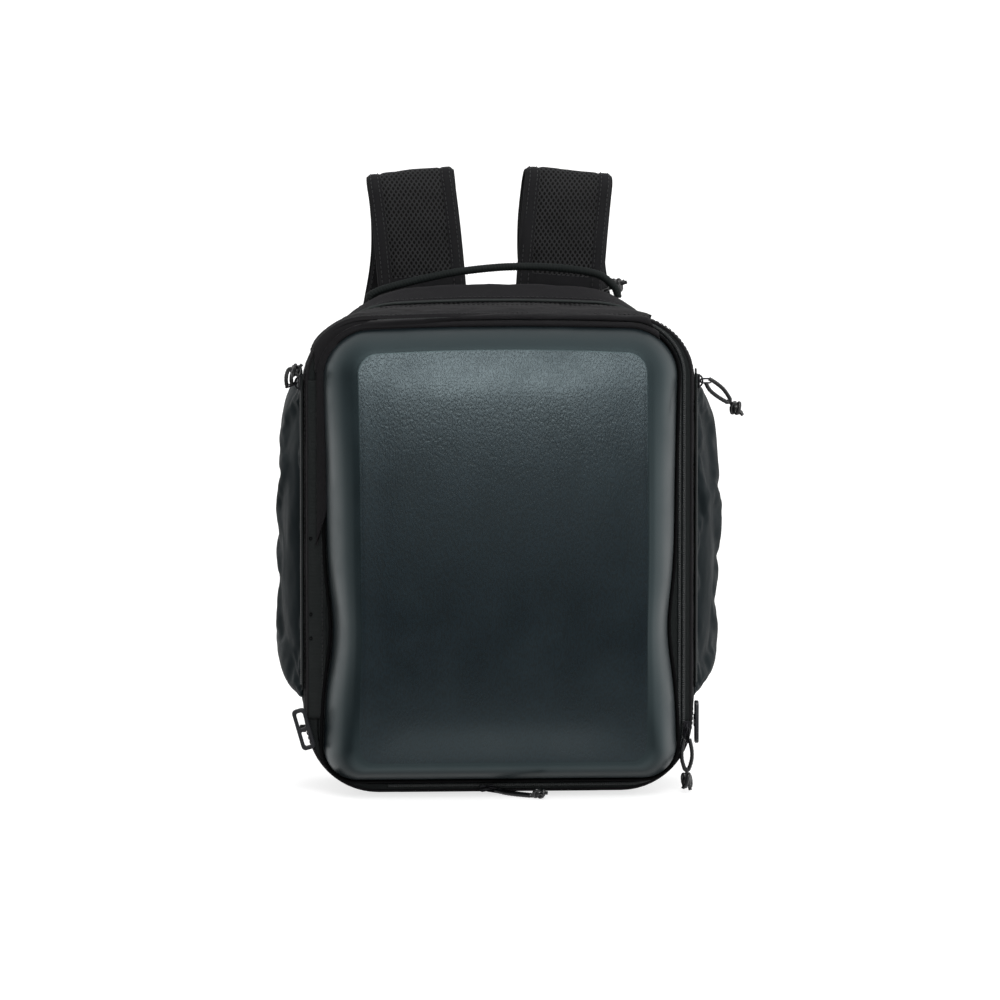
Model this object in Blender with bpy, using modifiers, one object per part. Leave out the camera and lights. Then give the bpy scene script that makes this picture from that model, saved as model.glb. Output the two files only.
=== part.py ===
"""Hard-shell backpack for carrying a drone: moulded front shell on a side-hinged zipped door, padded
main bay with dividers, rear document bay, two zipped side pockets, grab handle and shoulder straps.

Lengths are in millimetres and become metres when a mesh or curve is made. X runs to the right of
someone facing the shell, Y runs from the shell to the wearer's back, Z is up and Z = 0 is the floor
under the base panel, whose middle is the origin.
"""
import math

import bmesh
import bpy
from mathutils import Matrix, Vector

MM = 0.001
GAP = 0.3                     # clearance left between touching pieces

# outline resolution: segments on each corner, side and end of every rounded outline
CORNER_STEPS = 5
SIDE_STEPS = 8
END_STEPS = 6

# moulded shell
RIM_Y = -60.0                 # plane of the shell's rim
RIM_HALF_W = 142.5
RIM_LOW, RIM_HIGH = 13.0, 373.5
RIM_R_LOW, RIM_R_HIGH = 27.0, 38.0
RIM_CROWN = 3.5               # arch of the top edge
WAIST_Z = 134.0               # height of the narrowest place
WAIST_DEPTH, WAIST_SPAN = 5.5, 40.0
SIDE_TUCK = 3.0               # gentle narrowing over the whole height
SHELL_DEPTH = 66.0            # rim plane to the fullest point
SHELL_FULL_Z = 190.0          # height of the fullest point
SHELL_T = 4.0
BEVEL_SIDE, BEVEL_TOP, BEVEL_BOTTOM = 27.0, 12.0, 17.5   # rim to the ridge of the raised panel
RIDGE_R_LOW, RIDGE_R_HIGH = 13.0, 15.0

# fabric body
FRONT_Y, MID_Y, BACK_Y = -55.7, 1.0, 45.5
GUSSET_T = 4.0
BODY_LOW = 3.3
TAPE_SPLIT = 146.0            # half width where the door's flange meets the zip tape
TAPE_Y = -56.1                # back face of the flange and the tape
TAPE_T = 1.5
PANEL_Y, PANEL_T = 46.0, 4.0  # harness panel
BASE_T = 3.0

# hinge lines
DOOR_AXIS = (-148.5, -60.5, 190.0)
REAR_AXIS = (0.0, 48.0, 5.0)
POCKET_AXIS = (158.6, 34.0, 204.0)
HANDLE_AXIS = (0.0, 32.0, 391.0)
STRAP_AXIS = (54.0, 57.8, 348.0)
LEFT_BUCKLE_AXIS = (-153.0, -60.7, 53.8)
RIGHT_BUCKLE_AXIS = (158.9, -45.6, 56.0)

# side pockets
POCKET_LOW, POCKET_HIGH = 78.5, 331.0
POCKET_FRONT, POCKET_REAR = -42.0, 33.0
POCKET_BASE = 157.6
POCKET_BULGE = 19.0
POCKET_T = 2.2

# shoulder straps and webbing
STRAP_T = 8.0
WEB_W, WEB_T = 25.0, 1.6

# zip pulls
CORD_D = 3.2
STRAND_GAP = 4.2              # centre to centre of a pull's two strands

MATERIALS = {
    "shell_leather": ((0.028, 0.043, 0.048), 0.42, 0.0),
    "black_fabric": ((0.022, 0.022, 0.024), 0.85, 0.0),
    "pocket_nylon": ((0.030, 0.038, 0.044), 0.55, 0.0),
    "air_mesh": ((0.018, 0.019, 0.020), 0.80, 0.0),
    "webbing": ((0.016, 0.018, 0.018), 0.75, 0.0),
    "zip_tape": ((0.018, 0.022, 0.022), 0.70, 0.0),
    "black_metal": ((0.012, 0.012, 0.014), 0.35, 0.9),
    "black_plastic": ((0.014, 0.015, 0.018), 0.40, 0.0),
    "cord": ((0.010, 0.011, 0.012), 0.35, 0.0),
    "foam_lining": ((0.050, 0.052, 0.055), 0.90, 0.0),
    "board": ((0.030, 0.030, 0.032), 0.60, 0.0),
    "base_rubber": ((0.012, 0.012, 0.012), 0.70, 0.0),
}


# ---------------------------------------------------------------- scene helpers

def clear_scene():
    for obj in list(bpy.data.objects):
        bpy.data.objects.remove(obj, do_unlink=True)


def new_collection(name):
    group = bpy.data.collections.new(name)
    bpy.context.scene.collection.children.link(group)
    return group


def make_material(name):
    colour, roughness, metallic = MATERIALS[name]
    material = bpy.data.materials.new(name)
    material.use_nodes = True
    shader = material.node_tree.nodes["Principled BSDF"]
    shader.inputs["Base Color"].default_value = (*colour, 1.0)
    shader.inputs["Roughness"].default_value = roughness
    shader.inputs["Metallic"].default_value = metallic
    return material


def joint_frame(name, position):
    """An empty on a joint's axis: whatever moves with the joint is parented to it."""
    frame = bpy.data.objects.new(name, None)
    frame.location = Vector(position) * MM
    frame.empty_display_size = 0.02
    PARTS.objects.link(frame)
    bpy.context.view_layer.update()
    return frame


def keep(obj, material, frame=None):
    """Files a finished piece under the object's collection, its material and its joint frame."""
    obj.data.materials.append(bpy.data.materials.get(material) or make_material(material))
    PARTS.objects.link(obj)
    if frame:
        obj.parent = frame
        obj.matrix_parent_inverse = frame.matrix_world.inverted()
    return obj


def mirrored(point, side):
    return Vector((point[0] * side, point[1], point[2]))


def axes_matrix(origin, along, up):
    """Local X along, local Y as near up as can be, origin in millimetres."""
    x = Vector(along).normalized()
    z = x.cross(Vector(up)).normalized()
    y = z.cross(x)
    matrix = Matrix((x, y, z)).transposed().to_4x4()
    matrix.translation = Vector(origin) * MM
    return matrix


# ---------------------------------------------------------------- outlines and curves

def arc(cx, cz, radius, start, end, steps):
    turns = [start + (end - start) * k / steps for k in range(steps + 1)]
    return [(cx + radius * math.cos(a), cz + radius * math.sin(a)) for a in map(math.radians, turns)]


def between(a, b, steps):
    """The inner points of a straight stretch, without its ends."""
    return [tuple(a[i] + (b[i] - a[i]) * k / steps for i in range(2)) for k in range(1, steps)]


def outline(half_w, low, high, r_low, r_high, crown=0.0):
    """A rounded rectangle in X and Z, anticlockwise from its lower right corner, with an arched top."""
    corners = [
        arc(half_w - r_low, low + r_low, r_low, -90, 0, CORNER_STEPS),
        arc(half_w - r_high, high - r_high, r_high, 0, 90, CORNER_STEPS),
        arc(r_high - half_w, high - r_high, r_high, 90, 180, CORNER_STEPS),
        arc(r_low - half_w, low + r_low, r_low, 180, 270, CORNER_STEPS),
    ]
    points = []
    for k, corner in enumerate(corners):
        steps = SIDE_STEPS if k % 2 == 0 else END_STEPS
        points += corner + between(corner[-1], corners[(k + 1) % 4][0], steps)
    arched = []
    for x, z in points:
        lift = max(0.0, (z - high + r_high) / r_high)
        arched.append((x, z + crown * (1 - (x / half_w) ** 2) * lift))
    return arched


def pinched(points, half_w, share=1.0):
    """The hourglass of the shell, or a share of it: a slight tuck all the way and a waist low down."""
    result = []
    for x, z in points:
        tuck = SIDE_TUCK * math.sin(math.pi * min(1.0, max(0.0, (z - 20) / 330)))
        waist = WAIST_DEPTH * math.exp(-(((z - WAIST_Z) / WAIST_SPAN) ** 2))
        result.append((x - share * (tuck + waist) * (x / half_w) ** 3, z))
    return result


def at_y(points, y):
    return [Vector((x, y, z)) for x, z in points]


def body_outline(y, grow=0.0):
    """The outside of the fabric body at depth y, from the front edge to the harness panel."""
    stations = (
        # y, half width, top, lower radius, upper radius, crown
        (-55.7, 153.5, 380.0, 56.0, 45.0, 4.0),
        (-50.0, 156.0, 381.0, 59.5, 47.0, 4.5),
        (-42.0, 157.0, 381.5, 71.0, 52.0, 5.5),
        (-22.0, 157.0, 382.0, 82.0, 66.0, 7.0),
        (0.0, 157.0, 383.0, 82.0, 75.0, 8.0),
        (20.0, 157.0, 394.0, 82.0, 95.0, 10.0),
        (33.0, 156.5, 388.0, 80.0, 94.0, 7.0),
        (40.0, 154.0, 384.0, 76.0, 92.0, 4.0),
        (45.5, 149.0, 382.0, 70.0, 90.0, 3.0),
    )
    y = min(max(y, stations[0][0]), stations[-1][0])
    after = next(k for k in range(1, len(stations)) if y <= stations[k][0])
    a, b = stations[after - 1], stations[after]
    t = (y - a[0]) / (b[0] - a[0])
    half_w, high, r_low, r_high, crown = [a[k] + (b[k] - a[k]) * t for k in range(1, 6)]
    return outline(half_w + grow, BODY_LOW - grow, high + grow, r_low + grow, r_high + grow, crown)


def rim_outline(grow=0.0):
    half_w = RIM_HALF_W + grow
    shape = outline(half_w, RIM_LOW - grow, RIM_HIGH + grow, RIM_R_LOW + grow, RIM_R_HIGH + grow, RIM_CROWN)
    return pinched(shape, half_w)


def smooth_path(route, steps):
    """Points on a Catmull-Rom curve through a route."""
    knots = [Vector(p) for p in route]
    knots = [2 * knots[0] - knots[1]] + knots + [2 * knots[-1] - knots[-2]]
    path = []
    for a, b, c, d in zip(knots, knots[1:], knots[2:], knots[3:]):
        for k in range(steps):
            t = k / steps
            path.append(
                0.5 * (2 * b + (c - a) * t + (2 * a - 5 * b + 4 * c - d) * t**2 + (3 * b - a - 3 * c + d) * t**3)
            )
    return path + [knots[-2]]


# ---------------------------------------------------------------- piece makers

def mesh_object(name, bm):
    mesh = bpy.data.meshes.new(name)
    bm.to_mesh(mesh)
    bm.free()
    return bpy.data.objects.new(name, mesh)


def loft(name, rings, closed=True, cap_first=False, cap_last=False):
    """A surface through rings of points; closed says that each ring meets itself."""
    bm = bmesh.new()
    rows = [[bm.verts.new(p * MM) for p in ring] for ring in rings]
    count = len(rows[0])
    for near, far in zip(rows, rows[1:]):
        for k in range(count if closed else count - 1):
            n = (k + 1) % count
            bm.faces.new((near[k], near[n], far[n], far[k]))
    if cap_first:
        bm.faces.new(list(reversed(rows[0])))
    if cap_last:
        bm.faces.new(rows[-1])
    return mesh_object(name, bm)


def solid_loft(name, rings):
    obj = loft(name, rings, cap_first=True, cap_last=True)
    bm = bmesh.new()
    bm.from_mesh(obj.data)
    bmesh.ops.recalc_face_normals(bm, faces=bm.faces)
    bm.to_mesh(obj.data)
    bm.free()
    return obj


def solidify(obj, thickness, offset=-1.0):
    wall = obj.modifiers.new("wall", "SOLIDIFY")
    wall.thickness = thickness * MM
    wall.offset = offset
    wall.use_even_offset = True
    return obj


def sheet(name, points, y, thickness):
    """A flat panel in the X-Z plane whose front face is at y."""
    return solid_loft(name, [at_y(points, y + thickness), at_y(points, y)])


def block(name, low, high, bevel=1.5, segments=1):
    low, high = Vector(low), Vector(high)
    bm = bmesh.new()
    bmesh.ops.create_cube(bm, size=1.0)
    bmesh.ops.scale(bm, vec=(high - low) * MM, verts=bm.verts)
    obj = mesh_object(name, bm)
    obj.location = (low + high) / 2 * MM
    if bevel:
        edge = obj.modifiers.new("edge", "BEVEL")
        edge.width = bevel * MM
        edge.segments = segments
    return obj


def tube(name, points, radius, cyclic=False):
    curve = bpy.data.curves.new(name, "CURVE")
    curve.dimensions = "3D"
    curve.bevel_depth = radius * MM
    curve.bevel_resolution = 2
    curve.use_fill_caps = not cyclic
    spline = curve.splines.new("POLY")
    spline.points.add(len(points) - 1)
    for target, point in zip(spline.points, points):
        target.co = (*(Vector(point) * MM), 1.0)
    spline.use_cyclic_u = cyclic
    return bpy.data.objects.new(name, curve)


def plate(name, loops, thickness, place):
    """A flat outline, with holes where more loops are given, extruded either side of its plane."""
    curve = bpy.data.curves.new(name, "CURVE")
    curve.dimensions = "2D"
    curve.fill_mode = "BOTH"
    curve.extrude = thickness / 2 * MM
    for loop in loops:
        spline = curve.splines.new("POLY")
        spline.points.add(len(loop) - 1)
        for target, (x, y) in zip(spline.points, loop):
            target.co = (x * MM, y * MM, 0.0, 1.0)
        spline.use_cyclic_u = True
    obj = bpy.data.objects.new(name, curve)
    obj.matrix_world = place
    return obj


def rounded_rect(w, h, r, steps=3, cx=0.0, cy=0.0):
    points = []
    for k, (sx, sy) in enumerate(((1, -1), (1, 1), (-1, 1), (-1, -1))):
        start = -90 + 90 * k
        points += arc(cx + sx * (w / 2 - r), cy + sy * (h / 2 - r), r, start, start + 90, steps)
    return points


def ribbon(name, path, widths, tilts, thickness, edge=3.0):
    """A strap along a path: its width stays near X, turned in the X-Z plane by the tilts in degrees."""
    rings = []
    for k, point in enumerate(path):
        along = (path[min(k + 1, len(path) - 1)] - path[max(k - 1, 0)]).normalized()
        tilt = math.radians(tilts[k])
        across = Vector((math.cos(tilt), 0.0, math.sin(tilt)))
        across = (across - across.dot(along) * along).normalized()
        depth = along.cross(across)
        w, t = widths[k] / 2, thickness / 2
        shape = ((-w, -t / 2), (edge - w, -t), (w - edge, -t), (w, -t / 2),
                 (w, t / 2), (w - edge, t), (edge - w, t), (-w, t / 2))
        rings.append([point + across * a + depth * b for a, b in shape])
    return solid_loft(name, rings)


# ---------------------------------------------------------------- front door

def shell_depth(z):
    """How far the raised panel stands in front of the rim at height z."""
    if z > SHELL_FULL_Z:
        return SHELL_DEPTH * (1 - 0.515 * ((z - SHELL_FULL_Z) / 175) ** 2)
    return SHELL_DEPTH * (1 - 0.333 * ((SHELL_FULL_Z - z) / 160) ** 2)


def shell_ring(t, fraction):
    """A ring of the bevel: t from 0 at the rim to 1 at the ridge, fraction of the full depth."""
    half_w = RIM_HALF_W - BEVEL_SIDE * t
    shape = outline(
        half_w,
        RIM_LOW + BEVEL_BOTTOM * t,
        RIM_HIGH - BEVEL_TOP * t,
        RIM_R_LOW + (RIDGE_R_LOW - RIM_R_LOW) * t,
        RIM_R_HIGH + (RIDGE_R_HIGH - RIM_R_HIGH) * t,
        RIM_CROWN,
    )
    return [Vector((x, RIM_Y - fraction * shell_depth(z), z)) for x, z in pinched(shape, half_w, 1 - 0.85 * t)]


def front_shell():
    bevel = ((0.0, 0.0), (0.03, 0.20), (0.11, 0.40), (0.26, 0.60), (0.48, 0.77), (0.75, 0.885), (1.0, 0.945))
    rings = [shell_ring(t, fraction) for t, fraction in bevel]
    ridge = rings[-1]
    middle_z = (RIM_LOW + BEVEL_BOTTOM + RIM_HIGH - BEVEL_TOP) / 2
    for scale in (0.84, 0.62, 0.38, 0.12):
        ring = []
        for point in ridge:
            x, z = point.x * scale, middle_z + (point.z - middle_z) * scale
            swell = 1.0 - 0.055 * (x / (RIM_HALF_W - BEVEL_SIDE)) ** 2
            ring.append(Vector((x, RIM_Y - swell * shell_depth(z), z)))
        rings.append(ring)
    return solidify(loft("front_shell", rings, cap_last=True), SHELL_T)


def ring_band(name, inner, outer, y, thickness):
    """A flat ring between two outlines, its front face at y - thickness."""
    return solidify(loft(name, [at_y(outer, y - thickness), at_y(inner, y - thickness)]), thickness)


def tape_outline(grow):
    """The straight-sided line of the main zip, clear of the shell's rim all round."""
    return outline(TAPE_SPLIT + grow, 9.2 - grow, 377.2 + grow, 42.0 + grow, 41.0 + grow, 4.0)


def front_door():
    door = joint_frame("front_door_hinge", DOOR_AXIS)
    keep(front_shell(), "shell_leather", door)
    binding = [Vector((x, RIM_Y - 0.3, z)) for x, z in rim_outline(2.2)]
    keep(tube("shell_binding", binding, 1.3, cyclic=True), "black_fabric", door)
    flange = ring_band("door_flange", rim_outline(-8.0), tape_outline(-0.4), TAPE_Y, TAPE_T)
    keep(flange, "zip_tape", door)
    net = outline(129.0, 22.0, 236.0, 22.0, 4.0)
    keep(sheet("lid_net_pocket", net, TAPE_Y + GAP, 1.0), "air_mesh", door)


# ---------------------------------------------------------------- fabric body

def body_band(name, stations, thickness):
    rings = [at_y(body_outline(y), y) for y in reversed(stations)]
    return solidify(loft(name, rings), thickness)


def over_the_top(points, x_from, x_to):
    """The stretch of an outline that runs over the top, between two X limits, left to right."""
    middle = sum(z for _, z in points) / len(points)
    top = sorted((p for p in points if p[1] > middle), key=lambda p: p[0])
    return [p for p in top if x_from <= p[0] <= x_to]


def top_strip(name, y_front, y_back, lift, thickness, x_from, x_to, steps=2):
    """A strip that lies over the top of the body, lift clear of it."""
    ys = [y_front + (y_back - y_front) * k / steps for k in range(steps + 1)]
    rings = []
    for y in ys:
        points = over_the_top(body_outline(y, lift + thickness), x_from, x_to)
        rings.append(at_y(points, y))
    return solidify(loft(name, rings, closed=False), thickness, offset=1.0)


def fabric_body():
    keep(body_band("main_gusset", (-55.7, -50.0, -42.0, -22.0, -1.0), GUSSET_T), "black_fabric")
    keep(body_band("rear_gusset", (MID_Y, 20.0, 33.0, 40.0, BACK_Y), 3.0), "black_fabric")
    keep(sheet("partition_panel", body_outline(0.0, -1.0), -0.6, 1.2), "board")
    tape = ring_band("main_zip_tape", tape_outline(0.4), body_outline(FRONT_Y, -0.8), TAPE_Y, TAPE_T)
    keep(tape, "zip_tape")
    keep(top_strip("top_storm_flap", -58.4, -24.0, 0.6, 2.2, -152.0, 134.0), "black_fabric")
    keep(top_strip("rear_zip_tape", 40.5, 45.4, 0.4, 0.9, -112.0, 112.0, 1), "zip_tape")
    seam = over_the_top(body_outline(0.0, 1.6), -150.0, 150.0)
    keep(tube("seam_piping", at_y(seam, 0.0), 1.1), "zip_tape")
    keep(block("base_panel", (-86, -46, 0), (86, 42, BASE_T), bevel=1.0), "base_rubber")


def padding():
    """The foam at the back of the main bay and the padded dividers that split it."""
    back = outline(149.0, 11.0, 373.0, 72.0, 71.0, 6.0)
    keep(sheet("bay_back_foam", back, -8.0, 6.6), "foam_lining")
    keep(block("divider_shelf", (-147, -50, 196), (147, -8.4, 206), 2.0), "foam_lining")
    keep(block("divider_upright", (-18, -50, 8.5), (-8, -8.4, 195.6), 2.0), "foam_lining")
    keep(block("divider_short", (-7.6, -50, 98), (146, -8.4, 107), 2.0), "foam_lining")


# ---------------------------------------------------------------- side pockets

def pocket_bulge(z):
    t = (z - (POCKET_LOW + POCKET_HIGH) / 2) / ((POCKET_HIGH - POCKET_LOW) / 2)
    return POCKET_BULGE * max(0.0, 1 - abs(t) ** 2.8) ** 0.5


def pocket_pouch(name, side):
    """A domed skin, open towards the bag, fuller towards the front."""
    rings = []
    for i in range(13):
        angle = math.pi * i / 12
        z = (POCKET_LOW + POCKET_HIGH) / 2 - math.cos(angle) * (POCKET_HIGH - POCKET_LOW) / 2
        ring = []
        for k in range(11):
            u = (1 - math.cos(math.pi * k / 10)) / 2
            swell = (1 - abs(2 * u - 1) ** 2.6) ** 0.6
            y = POCKET_FRONT + (POCKET_REAR - POCKET_FRONT) * u
            ring.append(mirrored((POCKET_BASE + GAP + pocket_bulge(z) * swell, y, z), side))
        rings.append(ring)
    pouch = loft(name, rings, closed=False)
    bm = bmesh.new()
    bm.from_mesh(pouch.data)
    bmesh.ops.remove_doubles(bm, verts=bm.verts, dist=0.00005)
    bm.to_mesh(pouch.data)
    bm.free()
    return solidify(pouch, POCKET_T, offset=float(side))


def side_pockets():
    for label, side in (("left", -1), ("right", 1)):
        hinge = joint_frame(f"{label}_pocket_hinge", mirrored(POCKET_AXIS, side))
        keep(pocket_pouch(f"{label}_pocket_pouch", side), "pocket_nylon", hinge)
        x = sorted((side * (POCKET_BASE - 0.2), side * (POCKET_BASE + 0.8)))
        low, high = (x[0], -51.5, 84.0), (x[1], -43.6, 341.0)
        keep(block(f"{label}_pocket_zip_tape", low, high, bevel=0), "zip_tape")


# ---------------------------------------------------------------- harness and straps

def harness_panel():
    rear = joint_frame("rear_panel_hinge", REAR_AXIS)
    board = outline(147.0, 5.0, 378.0, 60.0, 88.0, 4.0)
    keep(sheet("harness_panel", board, PANEL_Y, PANEL_T), "black_fabric", rear)
    face = PANEL_Y + PANEL_T + GAP
    for label, side in (("left", -1), ("right", 1)):
        x = sorted((side * 12.0, side * 104.0))
        pad = block(f"{label}_back_pad", (x[0], face, 52), (x[1], face + 11.5, 336), 5.0, 2)
        keep(pad, "air_mesh", rear)
        tab = ((-14, -13), (14, -13), (9, 13), (-9, 13))
        place = axes_matrix((side * 114.0, face + 1.3, 36.0), (1, 0, 0), (0, 0, 1))
        keep(plate(f"{label}_webbing_tab", [tab], 2.5, place), "webbing", rear)
    keep(block("strap_yoke", (-98, face, 339), (98, face + 2.4, 366), 0.8), "black_fabric", rear)
    return rear


STRAP_ROUTE = (
    # x, y, z, width, tilt of the width in the X-Z plane
    (54.0, 57.8, 346.0, 69.0, -5.5),
    (54.6, 58.6, 375.0, 69.0, -5.5),
    (56.2, 61.0, 402.0, 69.0, -5.5),
    (59.5, 66.0, 440.0, 69.0, -5.5),
    (63.0, 72.5, 472.0, 69.0, -5.5),
    (64.6, 77.5, 484.0, 69.0, -5.5),
    (64.4, 84.5, 488.5, 69.0, -5.5),
    (63.4, 92.0, 484.5, 69.0, -5.0),
    (61.8, 97.0, 471.0, 69.0, -4.0),
    (59.8, 102.0, 445.0, 69.0, -2.0),
    (60.5, 105.5, 415.0, 69.0, 2.0),
    (66.0, 106.8, 382.0, 68.0, 8.0),
    (76.5, 107.2, 336.0, 66.0, 12.0),
    (89.0, 106.4, 286.0, 63.0, 14.0),
    (102.0, 104.0, 235.0, 58.0, 13.0),
    (116.0, 97.0, 165.0, 48.0, 11.0),
)
WEB_ROUTE = ((120.9, 94.5, 140.4), (123.6, 87.0, 109.0), (119.6, 74.0, 76.0), (114.5, 59.5, 51.6))


def shoulder_strap(label, side, rear):
    hinge = joint_frame(f"{label}_strap_hinge", mirrored(STRAP_AXIS, side))
    path = [mirrored(p[:3], side) for p in STRAP_ROUTE]
    widths = [p[3] for p in STRAP_ROUTE]
    tilts = [p[4] * side for p in STRAP_ROUTE]
    keep(ribbon(f"{label}_shoulder_strap", path, widths, tilts, STRAP_T), "air_mesh", hinge)

    along = (path[-1] - path[-2]).normalized()
    across = Vector((math.cos(math.radians(11)), 0, side * math.sin(math.radians(11))))
    centre = path[-1] + along * 12.4
    slots = [rounded_rect(34, 22, 4), rounded_rect(27, 4.5, 1.5, 2, 0, 4.8), rounded_rect(27, 4.5, 1.5, 2, 0, -4.8)]
    place = axes_matrix(centre, across, along)
    keep(plate(f"{label}_strap_buckle", slots, 4.0, place), "black_plastic", hinge)

    web = smooth_path([mirrored(p, side) for p in WEB_ROUTE], 2)
    tilts = [11.0 * side * (1 - k / (len(web) - 1)) for k in range(len(web))]
    keep(ribbon(f"{label}_strap_webbing", web, [WEB_W] * len(web), tilts, WEB_T, 0.6), "webbing", rear)


ANCHOR_LEAN = math.radians(24)   # slope of the body's shoulder outwards, where the handle is sewn on
ANCHOR_FALL = math.radians(30)   # its slope towards the back


def grab_handle():
    handle = joint_frame("grab_handle_hinge", HANDLE_AXIS)
    arch = ((-100, 32, 391.6), (-99.2, 32, 394.6), (-89, 32, 399.4), (-64, 32, 406.0), (-34, 32, 412.3),
            (-5, 32, 416.0), (22, 32, 417.3), (55, 32, 415.8), (84, 32, 411.0), (97, 32, 402.0),
            (100.6, 32, 395.6), (101, 32, 391.6))
    keep(tube("grab_handle", smooth_path(arch, 3), 3.25), "webbing", handle)
    for label, x in (("left", -100), ("right", 101)):
        # a flat patch that lies on the sloping shoulder of the body
        side = math.copysign(1.0, x)
        run = Vector((math.cos(ANCHOR_LEAN), 0, -side * math.sin(ANCHOR_LEAN)))
        fall = Vector((0, math.cos(ANCHOR_FALL), -math.sin(ANCHOR_FALL)))
        place = axes_matrix((x, 32, 386.9), run, fall)
        anchor = plate(f"{label}_handle_anchor", [rounded_rect(18, 9, 1.5)], 2.0, place)
        keep(anchor, "black_fabric")


def corner_buckles():
    """The oblong ladder-lock on each lower front corner and the webbing tab that holds it."""
    loops = [rounded_rect(11.5, 34, 3.5), rounded_rect(5.2, 12, 1.5, 2, 0, 7.6), rounded_rect(5.2, 12, 1.5, 2, 0, -7.6)]
    lean = math.radians(16)
    facing_front = axes_matrix(
        (-157.6, -60.7, 53.8), (math.cos(lean), 0, math.sin(lean)), (-math.sin(lean), 0, math.cos(lean))
    )
    facing_side = axes_matrix((158.9, -50.4, 56), (0, 1, 0), (0, 0, 1))
    for label, axis, place, low, high in (
        ("left", LEFT_BUCKLE_AXIS, facing_front, (-160.5, -58.9, 51), (-155.3, -51.5, 56.4)),
        ("right", RIGHT_BUCKLE_AXIS, facing_side, (157.3, -43.4, 51), (160.3, -39, 61)),
    ):
        hinge = joint_frame(f"{label}_corner_buckle_hinge", axis)
        keep(plate(f"{label}_corner_buckle", loops, 3.0, place), "black_plastic", hinge)
        keep(block(f"{label}_corner_tab", low, high, 0.5), "webbing")


# ---------------------------------------------------------------- zip sliders and their cord pulls

SLIDER_BODY = ((-6, 0), (6, 0), (6, 2.0), (4.3, 2.3), (3.2, 4.8), (-3.2, 4.8), (-4.3, 2.3), (-6, 2.0))
SLIDER_EYE = ((-2.3, 2.5), (2.3, 2.5), (1.8, 3.9), (-1.8, 3.9))
ZIPS = {
    # name: seat of the slider, run of the zip, way out of it, strand spread, how far the strands bow apart,
    # centreline from eye to knot, knot, its radii
    "rear_zip": (
        (72, 43.6, 389.8), (1, 0, 0), (0, 0, 1), (0, 1, 0), 0.2,
        ((80.5, 43.8, 393.2), (87, 44.3, 395.0), (93, 45, 397.4)), (101.6, 45, 400.9), (5.4, 5.4, 5.6),
    ),
    "right_pocket_zip": (
        (158.8, -47.4, 331), (0, 0, -1), (1, 0, 0), (0.63, 0, 0.77), 0.9,
        ((167.2, -47.6, 331.0), (171.5, -47.8, 326.5), (178, -48, 321), (183.5, -48, 315.8)),
        (190.2, -48, 309.0), (5.2, 5.4, 5.6),
    ),
    "left_pocket_zip": (
        (-158.8, -47.4, 331), (0, 0, -1), (-1, 0, 0), (1, 0, 0), 0.0,
        ((-167.8, -46.6, 328.8), (-168.4, -47, 333.5), (-168, -48.6, 338), (-167, -51, 341.3)),
        (-162.8, -58.4, 341.6), (4.8, 4.8, 4.8),
    ),
    "main_zip_side": (
        (150.2, -57.9, 52), (0, 0, -1), (0, -1, 0), (1, 0, 0), 1.0,
        ((150.2, -61.6, 43.6), (150.2, -62.4, 35), (150.2, -62.4, 27), (150.2, -62.2, 20.5)),
        (150.2, -63.4, 10.2), (5.2, 5.2, 6.4),
    ),
    "main_zip_base": (
        (-11, -57.9, 4.6), (1, 0, 0), (0, -1, 0), (0.69, 0.72, 0), 0.3,
        ((-2.5, -63.4, 3.4), (5, -69.2, 2.3), (14, -77, 2.0), (23, -85, 2.1)), (29.6, -91, 4.6), (5.8, 4.6, 4.2),
    ),
}


def pull_loop(spread, bow, centreline):
    """One strand out to the knot and one back, joined by a half turn just before the knot."""
    spread = Vector(spread).normalized() * STRAND_GAP / 2
    line = smooth_path(centreline, 2)
    gaps = [spread * (1 + bow * math.sin(math.pi * k / (len(line) - 1))) for k in range(len(line))]
    out = (line[-1] - line[-2]).normalized()
    turn = [
        line[-1] + spread * math.cos(a) + out * math.sin(a) * STRAND_GAP / 2
        for a in (math.pi * k / 6 for k in range(1, 6))
    ]
    out_strand = [p + gap for p, gap in zip(line, gaps)]
    back_strand = [p - gap for p, gap in zip(line, gaps)]
    return out_strand + turn + back_strand[::-1]


def zip_pulls():
    for name, (seat, run, outward, spread, bow, centreline, knot, radii) in ZIPS.items():
        slide = joint_frame(f"{name}_slide", seat)
        place = axes_matrix(seat, run, outward)
        slider = plate(f"{name}_slider", [SLIDER_BODY, SLIDER_EYE], 6.6, place)
        keep(slider, "black_metal", slide)
        swing = joint_frame(f"{name}_pull_swing", centreline[0])
        keep(tube(f"{name}_pull_cord", pull_loop(spread, bow, centreline), CORD_D / 2), "cord", swing)
        bm = bmesh.new()
        bmesh.ops.create_uvsphere(bm, u_segments=8, v_segments=6, radius=1.0)
        bmesh.ops.scale(bm, vec=Vector(radii) * MM, verts=bm.verts)
        bead = mesh_object(f"{name}_pull_knot", bm)
        bead.location = Vector(knot) * MM
        keep(bead, "cord", swing)


# ---------------------------------------------------------------- assembly

clear_scene()
PARTS = new_collection("drone_carrying_case")
front_door()
fabric_body()
padding()
side_pockets()
harness = harness_panel()
for strap_label, strap_side in (("left", -1), ("right", 1)):
    shoulder_strap(strap_label, strap_side, harness)
grab_handle()
corner_buckles()
zip_pulls()
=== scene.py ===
"""Looks of the drone carrying case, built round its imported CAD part.

Lengths are in millimetres and become metres when a mesh is made. X runs to the right of someone
facing the shell, Y runs from the shell to the wearer's back, and Z is up from the floor.
"""

import math

import bmesh
import bpy
import numpy as np
from mathutils import Matrix, Vector, noise


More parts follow.
